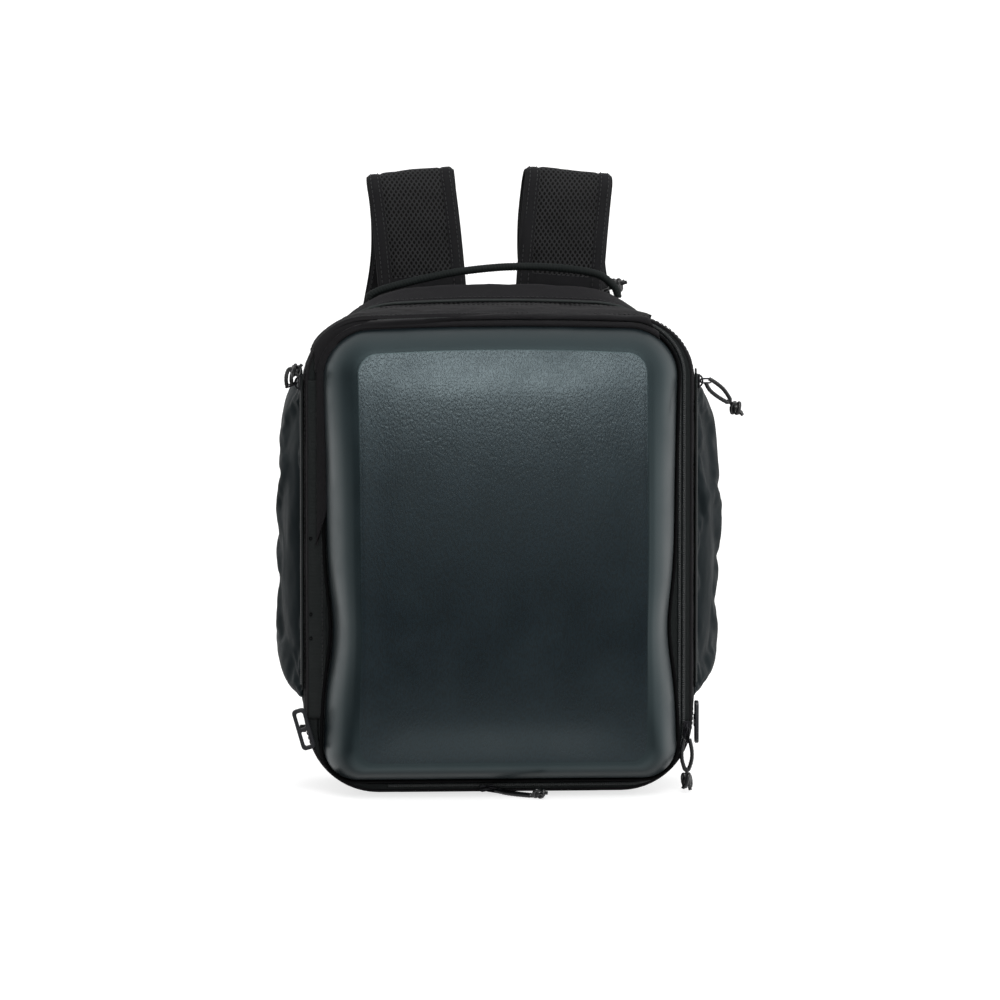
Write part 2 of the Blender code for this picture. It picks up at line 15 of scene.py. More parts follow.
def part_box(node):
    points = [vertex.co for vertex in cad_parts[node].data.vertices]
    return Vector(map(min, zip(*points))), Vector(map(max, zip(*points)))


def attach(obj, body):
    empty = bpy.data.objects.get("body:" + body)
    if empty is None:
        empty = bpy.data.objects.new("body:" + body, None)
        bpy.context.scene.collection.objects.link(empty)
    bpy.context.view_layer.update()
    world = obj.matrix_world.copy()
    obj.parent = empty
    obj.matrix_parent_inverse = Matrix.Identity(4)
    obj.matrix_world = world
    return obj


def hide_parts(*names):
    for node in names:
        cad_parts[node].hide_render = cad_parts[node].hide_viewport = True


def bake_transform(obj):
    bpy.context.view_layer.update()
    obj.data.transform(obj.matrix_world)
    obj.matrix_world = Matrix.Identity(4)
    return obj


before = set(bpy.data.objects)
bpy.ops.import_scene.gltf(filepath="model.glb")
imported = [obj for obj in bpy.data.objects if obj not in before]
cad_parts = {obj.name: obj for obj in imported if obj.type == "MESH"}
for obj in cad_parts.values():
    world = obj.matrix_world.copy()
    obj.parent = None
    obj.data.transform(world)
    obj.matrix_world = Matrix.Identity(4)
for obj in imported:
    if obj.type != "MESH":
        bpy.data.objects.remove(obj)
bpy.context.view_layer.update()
MM = 0.001
SIDES = (("left", -1), ("right", 1))


def box_mm(node):
    low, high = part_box(node)
    return low / MM, high / MM


# -------- sizes

CORNER_STEPS, SIDE_STEPS, END_STEPS = 14, 40, 30   # points on each corner, side and end of an outline

SHELL_LOW, SHELL_HIGH = box_mm("front_shell")
BODY_LOW, _ = box_mm("main_gusset")
POUCH_LOW, POUCH_HIGH = box_mm("right_pocket_pouch")

RIM_Y = SHELL_HIGH.y
RIM_HALF_W = SHELL_HIGH.x
RIM_CROWN = 3.5
RIM_LOW, RIM_HIGH = SHELL_LOW.z, SHELL_HIGH.z - RIM_CROWN
RIM_R_LOW, RIM_R_HIGH = 27.0, 38.0
RIDGE_R_LOW, RIDGE_R_HIGH = 13.0, 15.0
BEVEL_SIDE, BEVEL_TOP, BEVEL_BOTTOM = 27.0, 16.5, 17.5   # rim to the ridge of the raised panel
RIDGE_SHARE = 0.945           # share of the full depth at the ridge
BEVEL_PROFILE = (             # share of the way from rim to ridge, share of the full depth
    (0.0, 0.0), (0.03, 0.20), (0.11, 0.40), (0.26, 0.60), (0.48, 0.77), (0.75, 0.885), (1.0, RIDGE_SHARE)
)
SHELL_DEPTH = RIM_Y - SHELL_LOW.y
SHELL_FULL_Z = 190.0
SHELL_WALL = 3.6
LIP = 0.3                     # height of the panel's rounded shoulder
WAIST_Z, WAIST_DEPTH, WAIST_SPAN = 134.0, 5.5, 40.0   # the shell's waist
SIDE_TUCK = 3.0               # how far its sides are drawn in all the way up

TAPE_FRONT = box_mm("door_flange")[0].y   # front face of the zip tapes
TAPE_SPLIT = 146.0            # half width of the line where the zip's two halves meet
ZIP_END_X = -96.0             # where the zip ends along the bottom
COIL_PITCH, COIL_STEPS = 1.5, 5
COIL_W, COIL_H = 3.3, 1.3
COIL_OFFSET = 1.75            # from the middle of the zip to the middle of each half's coil

STRAP_T = 8.0
STRAP_GROOVE = 1 - 2 * 0.145  # share of the half width where the mesh ends and the plain border starts
WEB_W, WEB_T = 25.0, 1.6
ROPE_R = 3.25
STITCH_PITCH = 3.9            # from the start of a stitch to the start of the next, along the main seams
CORD_D = 3.2
STRAND_GAP = 4.2


# -------- outlines and paths

def arc(cx, cz, radius, start, end, steps):
    turns = [math.radians(start + (end - start) * k / steps) for k in range(steps + 1)]
    return [(cx + radius * math.cos(a), cz + radius * math.sin(a)) for a in turns]


def between(a, b, steps):
    return [tuple(a[i] + (b[i] - a[i]) * k / steps for i in range(2)) for k in range(1, steps)]


def outline(half_w, low, high, r_low, r_high, crown=0.0):
    """A rounded rectangle in X and Z, anticlockwise from its lower right corner, with an arched top."""
    corners = [
        arc(half_w - r_low, low + r_low, r_low, -90, 0, CORNER_STEPS),
        arc(half_w - r_high, high - r_high, r_high, 0, 90, CORNER_STEPS),
        arc(r_high - half_w, high - r_high, r_high, 90, 180, CORNER_STEPS),
        arc(r_low - half_w, low + r_low, r_low, 180, 270, CORNER_STEPS),
    ]
    points = []
    for k, corner in enumerate(corners):
        steps = SIDE_STEPS if k % 2 == 0 else END_STEPS
        points += corner + between(corner[-1], corners[(k + 1) % 4][0], steps)
    arched = []
    for x, z in points:
        lift = max(0.0, (z - high + r_high) / r_high)
        arched.append((x, z + crown * (1 - (x / half_w) ** 2) * lift))
    return arched


def inset_outline(half_w, low, high, r_low, r_high, crown=0.0):
    """A function that gives the same outline with its edge moved in."""
    return lambda d: outline(half_w - d, low + d, high - d, max(r_low - d, 0.4), max(r_high - d, 0.4), crown)


def pinched(points, half_w, share=1.0):
    """The hourglass of the shell, or a share of it: a slight tuck all the way and a waist low down."""
    result = []
    for x, z in points:
        tuck = SIDE_TUCK * math.sin(math.pi * min(1.0, max(0.0, (z - 20) / 330)))
        waist = WAIST_DEPTH * math.exp(-(((z - WAIST_Z) / WAIST_SPAN) ** 2))
        result.append((x - share * (tuck + waist) * (x / half_w) ** 3, z))
    return result


def at_y(points, y):
    return [Vector((x, y, z)) for x, z in points]


def body_outline(y, grow=0.0):
    """The outside of the fabric body at depth y, from the front edge to the harness panel."""
    stations = (
        # y, half width, top, lower radius, upper radius, crown
        (-55.7, 153.5, 380.0, 56.0, 45.0, 4.0),
        (-50.0, 156.0, 381.0, 59.5, 47.0, 4.5),
        (-42.0, 157.0, 381.5, 71.0, 52.0, 5.5),
        (-22.0, 157.0, 382.0, 82.0, 66.0, 7.0),
        (0.0, 157.0, 383.0, 82.0, 75.0, 8.0),
        (20.0, 157.0, 394.0, 82.0, 95.0, 10.0),
        (33.0, 156.5, 388.0, 80.0, 94.0, 7.0),
        (40.0, 154.0, 384.0, 76.0, 92.0, 4.0),
        (45.5, 149.0, 382.0, 70.0, 90.0, 3.0),
    )
    values = [np.interp(y, [s[0] for s in stations], [s[k] for s in stations]) for k in range(1, 6)]
    half_w, high, r_low, r_high, crown = values
    low = BODY_LOW.z
    return outline(half_w + grow, low - grow, high + grow, r_low + grow, r_high + grow, crown)


def rim_outline(grow=0.0):
    half_w = RIM_HALF_W + grow
    return pinched(
        outline(half_w, RIM_LOW - grow, RIM_HIGH + grow, RIM_R_LOW + grow, RIM_R_HIGH + grow, RIM_CROWN), half_w
    )


def tape_outline(grow):
    """The straight-sided line of the main zip."""
    return outline(TAPE_SPLIT + grow, 9.2 - grow, 377.2 + grow, 42.0 + grow, 41.0 + grow, 4.0)


def smooth_path(route, steps):
    """Points on a Catmull-Rom curve through a route."""
    knots = [Vector(p) for p in route]
    knots = [2 * knots[0] - knots[1]] + knots + [2 * knots[-1] - knots[-2]]
    path = []
    for a, b, c, d in zip(knots, knots[1:], knots[2:], knots[3:]):
        for k in range(steps):
            t = k / steps
            path.append(
                0.5 * (2 * b + (c - a) * t + (2 * a - 5 * b + 4 * c - d) * t**2 + (3 * b - a - 3 * c + d) * t**3)
            )
    return path + [knots[-2]]


def spaced(path, step, closed=False):
    """The path again, with its points a step apart."""
    path = np.array([tuple(p) for p in path], float)
    if closed:
        path = np.concatenate([path, path[:1]])
    along = np.concatenate([[0], np.cumsum(np.linalg.norm(np.diff(path, axis=0), axis=1))])
    at = np.linspace(0, along[-1], max(2, round(along[-1] / step) + 1))
    return np.stack([np.interp(at, along, path[:, k]) for k in range(3)], axis=1)


def unit(vectors):
    return vectors / np.maximum(np.linalg.norm(vectors, axis=-1, keepdims=True), 1e-9)


def frames(path, up, closed=False):
    """Unit vectors along the path, across it, and out of it as near up as can be."""
    path = np.array([tuple(p) for p in path], float)
    if closed:
        along = unit(np.gradient(np.concatenate([path[-2:-1], path, path[1:2]]), axis=0)[1:-1])
    else:
        along = unit(np.gradient(path, axis=0))
    across = unit(np.cross(along, np.broadcast_to(np.array(up, float), path.shape)))
    return path, along, across, np.cross(across, along)


def blended(start, end, t, y):
    """A line a share t of the way from one outline to another, at depth y."""
    return [Vector((a[0] + (b[0] - a[0]) * t, y, a[-1] + (b[-1] - a[-1]) * t)) for a, b in zip(start, end)]


def evenly(points, count):
    """The same line as count points at even distances."""
    line = spaced(points, 1.0)
    pick = np.linspace(0, len(line) - 1, count)
    return [Vector([np.interp(p, range(len(line)), line[:, a]) for a in range(3)]) for p in pick]


def mirrored(point, side):
    return Vector((point[0] * side, point[1], point[2]))


# -------- mesh makers

def baked(name, bm):
    """A mesh from a bmesh that is no longer needed."""
    mesh = bpy.data.meshes.new(name)
    bm.to_mesh(mesh)
    bm.free()
    return mesh


def link(name, mesh, materials):
    """A new object in the scene. Materials are names in LOOK or materials, one or several."""
    obj = bpy.data.objects.new(name, mesh)
    bpy.context.scene.collection.objects.link(obj)
    for material in materials if isinstance(materials, (list, tuple)) else [materials]:
        mesh.materials.append(LOOK.get(material, material))
    mesh.shade_smooth()
    return obj


def grid(name, rows, materials, closed=False, capped=False, bands=None):
    """A mesh through rows of points, with a UV map in metres. bands maps row and column to a material."""
    pts = np.array([[tuple(p) for p in row] for row in rows], float)
    n, m = pts.shape[:2]
    ring = np.concatenate([pts, pts[:, :1]], 1) if closed else pts
    u = np.concatenate([np.zeros((n, 1)), np.linalg.norm(np.diff(ring, axis=1), axis=2).cumsum(1)], 1)
    v_steps = np.linalg.norm(np.diff(ring, axis=0), axis=2)
    v = np.concatenate([np.zeros((1, ring.shape[1])), v_steps.cumsum(0)], 0)
    i, j = [a.ravel() for a in np.meshgrid(np.arange(n - 1), np.arange(ring.shape[1] - 1), indexing="ij")]
    k = (j + 1) % m
    faces = np.stack([i * m + j, i * m + k, (i + 1) * m + k, (i + 1) * m + j], 1).tolist()
    corners = [(i, j), (i, j + 1), (i + 1, j + 1), (i + 1, j)]
    uv = np.stack([np.stack([u[c], v[c]], 1) for c in corners], 1).reshape(-1, 2) * MM
    if capped:
        faces += [list(range(m))[::-1], list(range((n - 1) * m, n * m))]
        uv = np.concatenate([uv, np.zeros((2 * m, 2))])
    mesh = bpy.data.meshes.new(name)
    mesh.from_pydata((pts.reshape(-1, 3) * MM).tolist(), [], faces)
    mesh.uv_layers.new(name="UVMap").data.foreach_set("uv", uv.ravel())
    if bands:
        index = np.zeros(len(faces), int)
        index[: len(i)] = bands(i, j)
        mesh.polygons.foreach_set("material_index", index)
    return link(name, mesh, materials)


def planar_uv(obj, a=0, b=2):
    """Replaces the UV map by a flat one along two axes, for flat panels."""
    mesh = obj.data
    for loop, target in zip(mesh.loops, mesh.uv_layers[0].data):
        co = mesh.vertices[loop.vertex_index].co
        target.uv = (co[a], co[b])
    return obj


def apply_modifiers(obj):
    evaluated = obj.evaluated_get(bpy.context.evaluated_depsgraph_get())
    mesh = bpy.data.meshes.new_from_object(evaluated)
    obj.modifiers.clear()
    obj.data = mesh
    return obj


def thicken(obj, thickness, inner=0):
    """Gives a sheet a wall inwards; inner is how many slots further on its inside's material is."""
    wall = obj.modifiers.new("wall", "SOLIDIFY")
    wall.thickness = thickness * MM
    wall.offset = -1.0
    wall.material_offset = inner
    return apply_modifiers(obj)


def weld(obj):
    bm = bmesh.new()
    bm.from_mesh(obj.data)
    bmesh.ops.remove_doubles(bm, verts=bm.verts, dist=0.00001)
    bmesh.ops.recalc_face_normals(bm, faces=bm.faces)
    bm.to_mesh(obj.data)
    bm.free()
    return obj


def sweep(name, path, section, material, up, closed=False):
    """A solid along a path. section(k) gives the outline across and out of the path at point k."""
    path, _, across, out = frames(path, up, closed)
    rows = [[path[k] + across[k] * a + out[k] * b for a, b in section(k)] for k in range(len(path))]
    if closed:
        rows[-1] = rows[0]
    return weld(grid(name, rows, material, closed=True, capped=not closed))


def tube(name, path, radius, material, sides, up, closed=False, ribs=None):
    """A round cord; ribs(length along, angle) scales its radius."""
    lengths = np.concatenate([[0], np.cumsum(np.linalg.norm(np.diff(np.array(path, float), axis=0), axis=1))])
    turns = [2 * math.pi * k / sides for k in range(sides)]

    def section(k):
        reach = [radius * (ribs(lengths[k], a) if ribs else 1.0) for a in turns]
        return [(r * math.cos(a), r * math.sin(a)) for r, a in zip(reach, turns)]
    return sweep(name, path, section, material, up, closed)


def copies(name, points, faces, placements, material):
    """One mesh of many copies of a small one. A placement is a 3x3 array of axes and a position."""
    points = np.array(points, float)
    turned = [points @ np.array(axes).T + np.array(position) for axes, position in placements]
    mesh = bpy.data.meshes.new(name)
    mesh.from_pydata(
        (np.concatenate(turned) * MM).tolist(), [],
        [[v + k * len(points) for v in face] for k in range(len(turned)) for face in faces],
    )
    return link(name, mesh, material)


def capsule(length, radius, sides=6):
    """Points and faces of a short thread along X."""
    rings = ((-0.5, 0.35), (-0.36, 0.9), (0.0, 1.1), (0.36, 0.9), (0.5, 0.35))
    turns = [2 * math.pi * k / sides for k in range(sides)]
    points = [(length * t, radius * r * math.cos(a), radius * r * math.sin(a)) for t, r in rings for a in turns]
    faces = [
        (i * sides + k, (i + 1) * sides + k, (i + 1) * sides + (k + 1) % sides, i * sides + (k + 1) % sides)
        for i in range(len(rings) - 1) for k in range(sides)
    ]
    faces += [list(range(sides)), list(range((len(rings) - 1) * sides, len(rings) * sides))[::-1]]
    return points, faces


def stitches(name, lines, body, length=2.7, gap=1.2, radius=0.33):
    """Rows of thread along lines of points; each line comes with its outward direction."""
    points, faces = capsule(length, radius)
    placements = []
    for line, out in lines:
        path = line if isinstance(line, np.ndarray) else spaced(line, length + gap)
        path, along, across, up = frames(path, out)
        placements += [(np.stack([along[k], across[k], up[k]], 1), path[k]) for k in range(len(path))]
    obj = copies(name, points, faces, placements, "thread")
    return fitted(obj, body)


def slab(name, shape, profile, material):
    """A flat piece in the X-Z plane: shape(inset) at each (inset, y), from back to front."""
    rows = [at_y(shape(inset), y) for inset, y in profile]
    return planar_uv(grid(name, rows, material, closed=True, capped=True))


def flat_profile(y_front, y_back, edge, deep):
    """A slab's profile with edges rounded by edge and faces that reach in to deep."""
    turns = [math.radians(15 * k) for k in range(7)]
    back = [(edge * (1 - math.sin(a)), y_back - edge * (1 - math.cos(a))) for a in turns]
    front = [(edge * (1 - math.cos(a)), y_front + edge * (1 - math.sin(a))) for a in turns]
    reach = [deep * f for f in (1.0, 0.75, 0.5, 0.3, 0.15)]
    return [(d, y_back) for d in reach] + back + front + [(d, y_front) for d in reversed(reach)]


def rounded_rect(w, h, r, steps=4, cx=0.0, cy=0.0):
    points = []
    for k, (sx, sy) in enumerate(((1, -1), (1, 1), (-1, 1), (-1, -1))):
        start = -90 + 90 * k
        points += arc(cx + sx * (w / 2 - r), cy + sy * (h / 2 - r), r, start, start + 90, steps)
    return points


def bar(name, low, high, radius, puff, material, axis):
    """A padded bar with rounded edges along an axis, its faces slightly crowned."""
    first, second = [k for k in range(3) if k != axis]
    centre, half = (low + high) / 2, (high - low) / 2
    rows = []
    for k in range(49):
        t = math.sin((-1 + 2 * k / 48) * math.pi / 2)
        left = half[axis] * (1 - abs(t))
        inset = radius - math.sqrt(max(0.0, radius**2 - max(0.0, radius - left) ** 2))
        swell = puff * min(1.0, left / 12)
        w, h = 2 * (half[first] - inset), 2 * (half[second] - inset)
        row = []
        for a, b in rounded_rect(w, h, max(radius - inset, 0.4), 5):
            point = centre.copy()
            point[axis] += half[axis] * t
            point[first] += a + swell * a / w * math.cos(math.pi * b / h)
            point[second] += b + swell * b / h * math.cos(math.pi * a / w)
            row.append(point)
        rows.append(row)
    return weld(grid(name, rows, material, closed=True, capped=True))


def extruded(name, loops, thickness, place, material, edge):
    """A moulded plate with holes and rounded edges, centred on its plane."""
    curve = bpy.data.curves.new(name, "CURVE")
    curve.dimensions = "2D"
    curve.fill_mode = "BOTH"
    curve.extrude = (thickness / 2 - edge) * MM
    curve.bevel_depth = edge * MM
    curve.bevel_resolution = 3
    curve.offset = -edge * MM
    for loop in loops:
        spline = curve.splines.new("POLY")
        spline.points.add(len(loop) - 1)
        for target, (x, y) in zip(spline.points, loop):
            target.co = (x * MM, y * MM, 0.0, 1.0)
        spline.use_cyclic_u = True
    shape = bpy.data.objects.new(name + "_curve", curve)
    bpy.context.scene.collection.objects.link(shape)
    bpy.context.view_layer.update()
    mesh = bpy.data.meshes.new_from_object(shape.evaluated_get(bpy.context.evaluated_depsgraph_get()))
    bpy.data.objects.remove(shape)
    mesh.transform(place)
    obj = link(name, mesh, material)
    mesh.set_sharp_from_angle(angle=math.radians(50))
    return weld(obj)


def axes_matrix(origin, along, up):
    """Local X along, local Y as near up as can be, origin in millimetres."""
    x = Vector(along).normalized()
    z = x.cross(Vector(up)).normalized()
    y = z.cross(x)
    matrix = Matrix((x, y, z)).transposed().to_4x4()
    matrix.translation = Vector(origin) * MM
    return matrix


def joined(name, objects):
    """Several meshes as one piece; each keeps its own material."""
    bm = bmesh.new()
    materials = []
    for obj in objects:
        first = len(materials)
        materials += list(obj.data.materials)
        start = len(bm.faces)
        bm.from_mesh(obj.data)
        bm.faces.ensure_lookup_table()
        for face in bm.faces[start:]:
            face.material_index += first
    mesh = baked(name, bm)
    for obj in objects:
        bpy.data.objects.remove(obj)
    return link(name, mesh, materials)


def fitted(piece, body, node=None):
    """Gives a piece its body, and lets it stand for a CAD node."""
    if node:
        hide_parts(node)
    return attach(piece, body)


def piping(name, line, step, radius, look, body, node=None, closed=True, sides=10):
    """A thin round cord along a seam or an edge."""
    cord = tube(name, spaced(line, step, closed), radius, look, sides, (0, 1, 0), closed)
    return fitted(cord, body, node)


def facing(obj, axis, sign):
    """Turns a sheet's faces over if they look away from the axis' positive or negative side."""
    if sum(f.normal[axis] for f in obj.data.polygons) * sign < 0:
        obj.data.flip_normals()
    return obj


def ruffle(obj, amount, wavelength, seed, stretch=(1, 1, 1), where=None):
    """Moves a surface in and out by soft noise, as sewn cloth does; where(co) weighs it."""
    mesh = obj.data
    shift = Vector((seed * 7.3, seed * 3.1, seed * 1.7))
    moves = []
    for vertex in mesh.vertices:
        co = vertex.co / MM
        place = Vector([co[k] / (wavelength * stretch[k]) for k in range(3)]) + shift
        weight = where(co) if where else 1.0
        moves.append(vertex.normal * (noise.fractal(place, 0.6, 2.2, 3) * amount * weight * MM))
    for vertex, move in zip(mesh.vertices, moves):
        vertex.co += move
    return obj


# -------- materials

def add(tree, kind, inputs=(), **settings):
    """Adds a node; inputs are pairs of socket and either a value or another node's output."""
    made = tree.nodes.new(kind)
    for key, value in settings.items():
        setattr(made, key, value)
    for key, value in inputs:
        if isinstance(value, bpy.types.NodeSocket):
            tree.links.new(value, made.inputs[key])
        else:
            made.inputs[key].default_value = value
    return made


def calc(tree, operation, a, b=0.0, c=0.0):
    return add(tree, "ShaderNodeMath", [(0, a), (1, b), (2, c)], operation=operation).outputs[0]


def mapped(tree, value, low, high, to_low, to_high, **settings):
    """A value whose range from low to high is spread over another range."""
    inputs = list(enumerate((value, low, high, to_low, to_high)))
    return add(tree, "ShaderNodeMapRange", inputs, **settings).outputs[0]


def uv_waves(tree, pitch_u, pitch_v):
    """The UV map's two directions as angles that turn once for each pitch in millimetres."""
    split = add(tree, "ShaderNodeSeparateXYZ", [(0, add(tree, "ShaderNodeUVMap").outputs[0])])
    turn = 2 * math.pi / MM
    return calc(tree, "MULTIPLY", split.outputs[0], turn / pitch_u), calc(
        tree, "MULTIPLY", split.outputs[1], turn / pitch_v
    )


def object_place(tree, scale=(1, 1, 1)):
    """The place on the object at rest in millimetres, stretched by scale."""
    place = add(tree, "ShaderNodeTexCoord").outputs["Object"]
    return add(tree, "ShaderNodeMapping", [(0, place), (3, [s / MM for s in scale])]).outputs[0]


def noise_height(tree, size, detail, stretch=(1, 1, 1)):
    inputs = [("Vector", object_place(tree, stretch)), ("Scale", 1 / size), ("Detail", detail)]
    return add(tree, "ShaderNodeTexNoise", inputs).outputs[0]


def plain_weave(pitch):
    """Threads that pass over and under each other."""
    def height(tree):
        u, v = uv_waves(tree, pitch * 2, pitch * 2)
        over = calc(tree, "MULTIPLY", calc(tree, "SINE", u), calc(tree, "SINE", v))
        threads = calc(tree, "MULTIPLY", calc(tree, "COSINE", calc(tree, "MULTIPLY", u, 2.0)), 0.3)
        return calc(tree, "MULTIPLY_ADD", calc(tree, "ADD", over, threads), 0.5, 0.5)
    return height


def twill(pitch_u, pitch_v, chevron=0.0):
    """Diagonal ribs; chevron is the half width of a herringbone's bands, in pitches."""
    def height(tree):
        u, v = uv_waves(tree, pitch_u, pitch_v)
        if chevron:
            u = calc(tree, "PINGPONG", u, chevron * 2 * math.pi)
        return calc(tree, "MULTIPLY_ADD", calc(tree, "SINE", calc(tree, "ADD", u, v)), 0.5, 0.5)
    return height


def ribbed(pitch):
    """Ribs across the length of a tape."""
    def height(tree):
        _, v = uv_waves(tree, pitch, pitch)
        return calc(tree, "MULTIPLY_ADD", calc(tree, "SINE", v), 0.5, 0.5)
    return height


def diamonds(cell_w, cell_h):
    """Spacer mesh: a lattice of yarn with open diamonds. High is yarn and low is hole."""
    def height(tree):
        u, v = uv_waves(tree, cell_w, cell_h)
        a = calc(tree, "COSINE", calc(tree, "MULTIPLY", calc(tree, "ADD", u, v), 0.5))
        b = calc(tree, "COSINE", calc(tree, "MULTIPLY", calc(tree, "SUBTRACT", u, v), 0.5))
        hole = calc(tree, "ABSOLUTE", calc(tree, "MULTIPLY", a, b))
        return mapped(tree, hole, 0.56, 0.30, 0.0, 1.0, interpolation_type="SMOOTHSTEP")
    return height


def hair_cell(size, squeeze):
    """Hair-cell leather: fine swollen strands that run upwards, with creases between them."""
    def height(tree):
        strands = noise_height(tree, size, 1.5, (1.0, 1.0, squeeze))
        return mapped(tree, strands, 0.36, 0.60, 0.0, 1.0, interpolation_type="SMOOTHSTEP")
    return height


def grainy(size, detail=4.0, stretch=(1, 1, 1)):
    return lambda tree: noise_height(tree, size, detail, stretch)


def make_look(name, colour, roughness, height, depth, dark, light, metallic=0.0, sheen=0.0, specular=0.5,
              coat=0.0, fine=None, fade=None, tint=(1.0, 1.0, 1.0)):
    """A procedural material: colour and roughness vary in patches, and a pattern gives relief and shade.

    height makes the pattern, and depth is its relief in millimetres. dark and light scale the colour in
    its low and high places: painted shade in the pattern's creases, gaps and holes, and a painted
    highlight on its raised parts. fine is the size and depth of a second, finer relief. fade is (z from,
    z to, least strength): the relief weakens towards the first height.
    """
    material = bpy.data.materials.new(name)
    material.use_nodes = True
    tree = material.node_tree
    shader = tree.nodes["Principled BSDF"]
    for socket, value in (
        ("Metallic", metallic), ("Specular IOR Level", specular), ("Specular Tint", (*tint, 1.0)),
        ("Sheen Weight", sheen), ("Sheen Roughness", 0.45), ("Coat Weight", coat), ("Coat Roughness", 0.25),
    ):
        shader.inputs[socket].default_value = value

    clouds = noise_height(tree, PATCH, 4.0)
    relief = height(tree)
    worn = mapped(tree, clouds, 0.3, 0.7, 0.85, 1.18)
    # the pattern's low places are darkened as painted shade and its high places lightened as a painted highlight;
    # worn is a random patchy tone
    shade = calc(tree, "MULTIPLY", worn, mapped(tree, relief, 0.0, 1.0, dark, light))
    base = add(tree, "ShaderNodeVectorMath", [(0, colour), (3, shade)], operation="SCALE").outputs[0]
    rough = mapped(tree, clouds, 0.3, 0.7, roughness - ROUGH_SPAN / 2, roughness + ROUGH_SPAN / 2)

    strength = 1.0
    if fade:
        z = add(tree, "ShaderNodeSeparateXYZ", [(0, object_place(tree))]).outputs[2]
        strength = mapped(tree, z, *fade, 1.0)
    normal = add(
        tree, "ShaderNodeBump", [("Strength", strength), ("Distance", depth * MM), ("Height", relief)]
    ).outputs[0]
    if fine:
        size, fine_depth = fine
        normal = add(
            tree, "ShaderNodeBump",
            [("Distance", fine_depth * MM), ("Height", noise_height(tree, size, 4.0)), ("Normal", normal)],
        ).outputs[0]
    for output, socket in ((base, "Base Color"), (rough, "Roughness"), (normal, "Normal")):
        tree.links.new(output, shader.inputs[socket])
    return material


PATCH = 40.0                  # size of the patches in which colour and roughness vary
ROUGH_SPAN = 0.12             # how far the roughness varies

LOOK = {
    "panel": make_look("panel_leather", (0.0012, 0.0046, 0.0075), 0.30, hair_cell(1.25, 0.42), 0.07, 0.5, 1.2,
                       fade=(90, 330, 0.3), tint=(0.80, 0.98, 1.03), fine=(0.5, 0.025)),
    "bevel": make_look("bevel_leather", (0.0020, 0.0050, 0.0068), 0.38, grainy(0.9), 0.03, 0.92, 1.08,
                       tint=(0.76, 1.0, 1.04)),
    "fabric": make_look("black_fabric", (0.0088, 0.0083, 0.0098), 0.88, plain_weave(0.75), 0.16, 0.5, 1.35,
                        sheen=0.02, fine=(0.5, 0.08), specular=0.25),
    "band": make_look("brushed_band", (0.0082, 0.0077, 0.0088), 0.92, grainy(0.9, 5.0), 0.14, 0.75, 1.25,
                      sheen=0.03, specular=0.25),
    "strip": make_look("tape_strip", (0.0060, 0.0085, 0.0085), 0.75, ribbed(1.1), 0.14, 0.6, 1.25, specular=0.3),
    # painted highlight: a lighter green-grey copy of the tape strip, for the highlight along the top seam
    "highlight": make_look("seam_painted_highlight", (0.0240, 0.0290, 0.0280), 0.75, ribbed(1.1), 0.1, 0.8, 1.15,
                           specular=0.3),
    "nylon": make_look("pocket_nylon", (0.0045, 0.0068, 0.0082), 0.55, plain_weave(0.45), 0.05, 0.75, 1.15,
                       sheen=0.01, specular=0.14, tint=(0.8, 1.0, 1.05)),
    # spacer mesh: its holes are painted black as shade (dark 0.0) and its yarn is painted lighter as a highlight
    # (light 1.5)
    "mesh": make_look("spacer_mesh", (0.0150, 0.0153, 0.0160), 0.55, diamonds(3.9, 5.6), 0.9, 0.0, 1.5,
                      fine=(0.35, 0.12), specular=0.12),
    "border": make_look("strap_border", (0.0095, 0.0095, 0.0107), 0.90, plain_weave(0.6), 0.12, 0.6, 1.25,
                        sheen=0.02, specular=0.25),
    "webbing": make_look("webbing", (0.0065, 0.0075, 0.0080), 0.72, twill(2.2, 1.6, 2.0), 0.3, 0.5, 1.3,
                         specular=0.3),
    "rope": make_look("handle_rope", (0.0035, 0.0060, 0.0058), 0.75, grainy(0.5), 0.05, 0.8, 1.2, specular=0.25),
    "coil": make_look("zip_coil", (0.0065, 0.0090, 0.0095), 0.50, grainy(0.6), 0.03, 0.85, 1.15),
    "metal": make_look("black_metal", (0.020, 0.020, 0.023), 0.30, grainy(2.0), 0.02, 0.9, 1.1, metallic=0.9),
    "plastic": make_look("black_plastic", (0.0075, 0.0085, 0.0115), 0.36, grainy(0.35), 0.02, 0.9, 1.1),
    "cord": make_look("pull_cord", (0.0040, 0.0045, 0.0050), 0.28, grainy(0.4), 0.03, 0.8, 1.2, coat=0.2),
    "lining": make_look("loop_lining", (0.030, 0.031, 0.034), 0.94, grainy(0.55, 5.0), 0.25, 0.7, 1.25,
                        sheen=0.12),
    "shell_lining": make_look("shell_lining", (0.020, 0.021, 0.023), 0.9, plain_weave(1.0), 0.1, 0.7, 1.2,
                              sheen=0.05),
    "board": make_look("bay_lining", (0.020, 0.0205, 0.0225), 0.7, plain_weave(0.8), 0.08, 0.7, 1.15),
    "rubber": make_look("base_rubber", (0.0060, 0.0060, 0.0060), 0.72, plain_weave(3.0), 0.5, 0.7, 1.2),
    "thread": make_look("thread", (0.0105, 0.0110, 0.0120), 0.6, grainy(0.3), 0.02, 0.8, 1.2),
    # painted shade: near black, for the shadow in gaps and holes
    "gap": make_look("shadow_gap", (0.0020, 0.0020, 0.0024), 0.85, grainy(0.8), 0.02, 0.8, 1.1, specular=0.1),
}


# -------- camera

LENS, SENSOR = 300.0, 36.0
VIEW_WIDTH = 0.800            # metres seen across at the shell's rim
AZIMUTH, ELEVATION = -3.5, 6.0
TARGET = Vector((0.0, RIM_Y * MM, 0.2372))


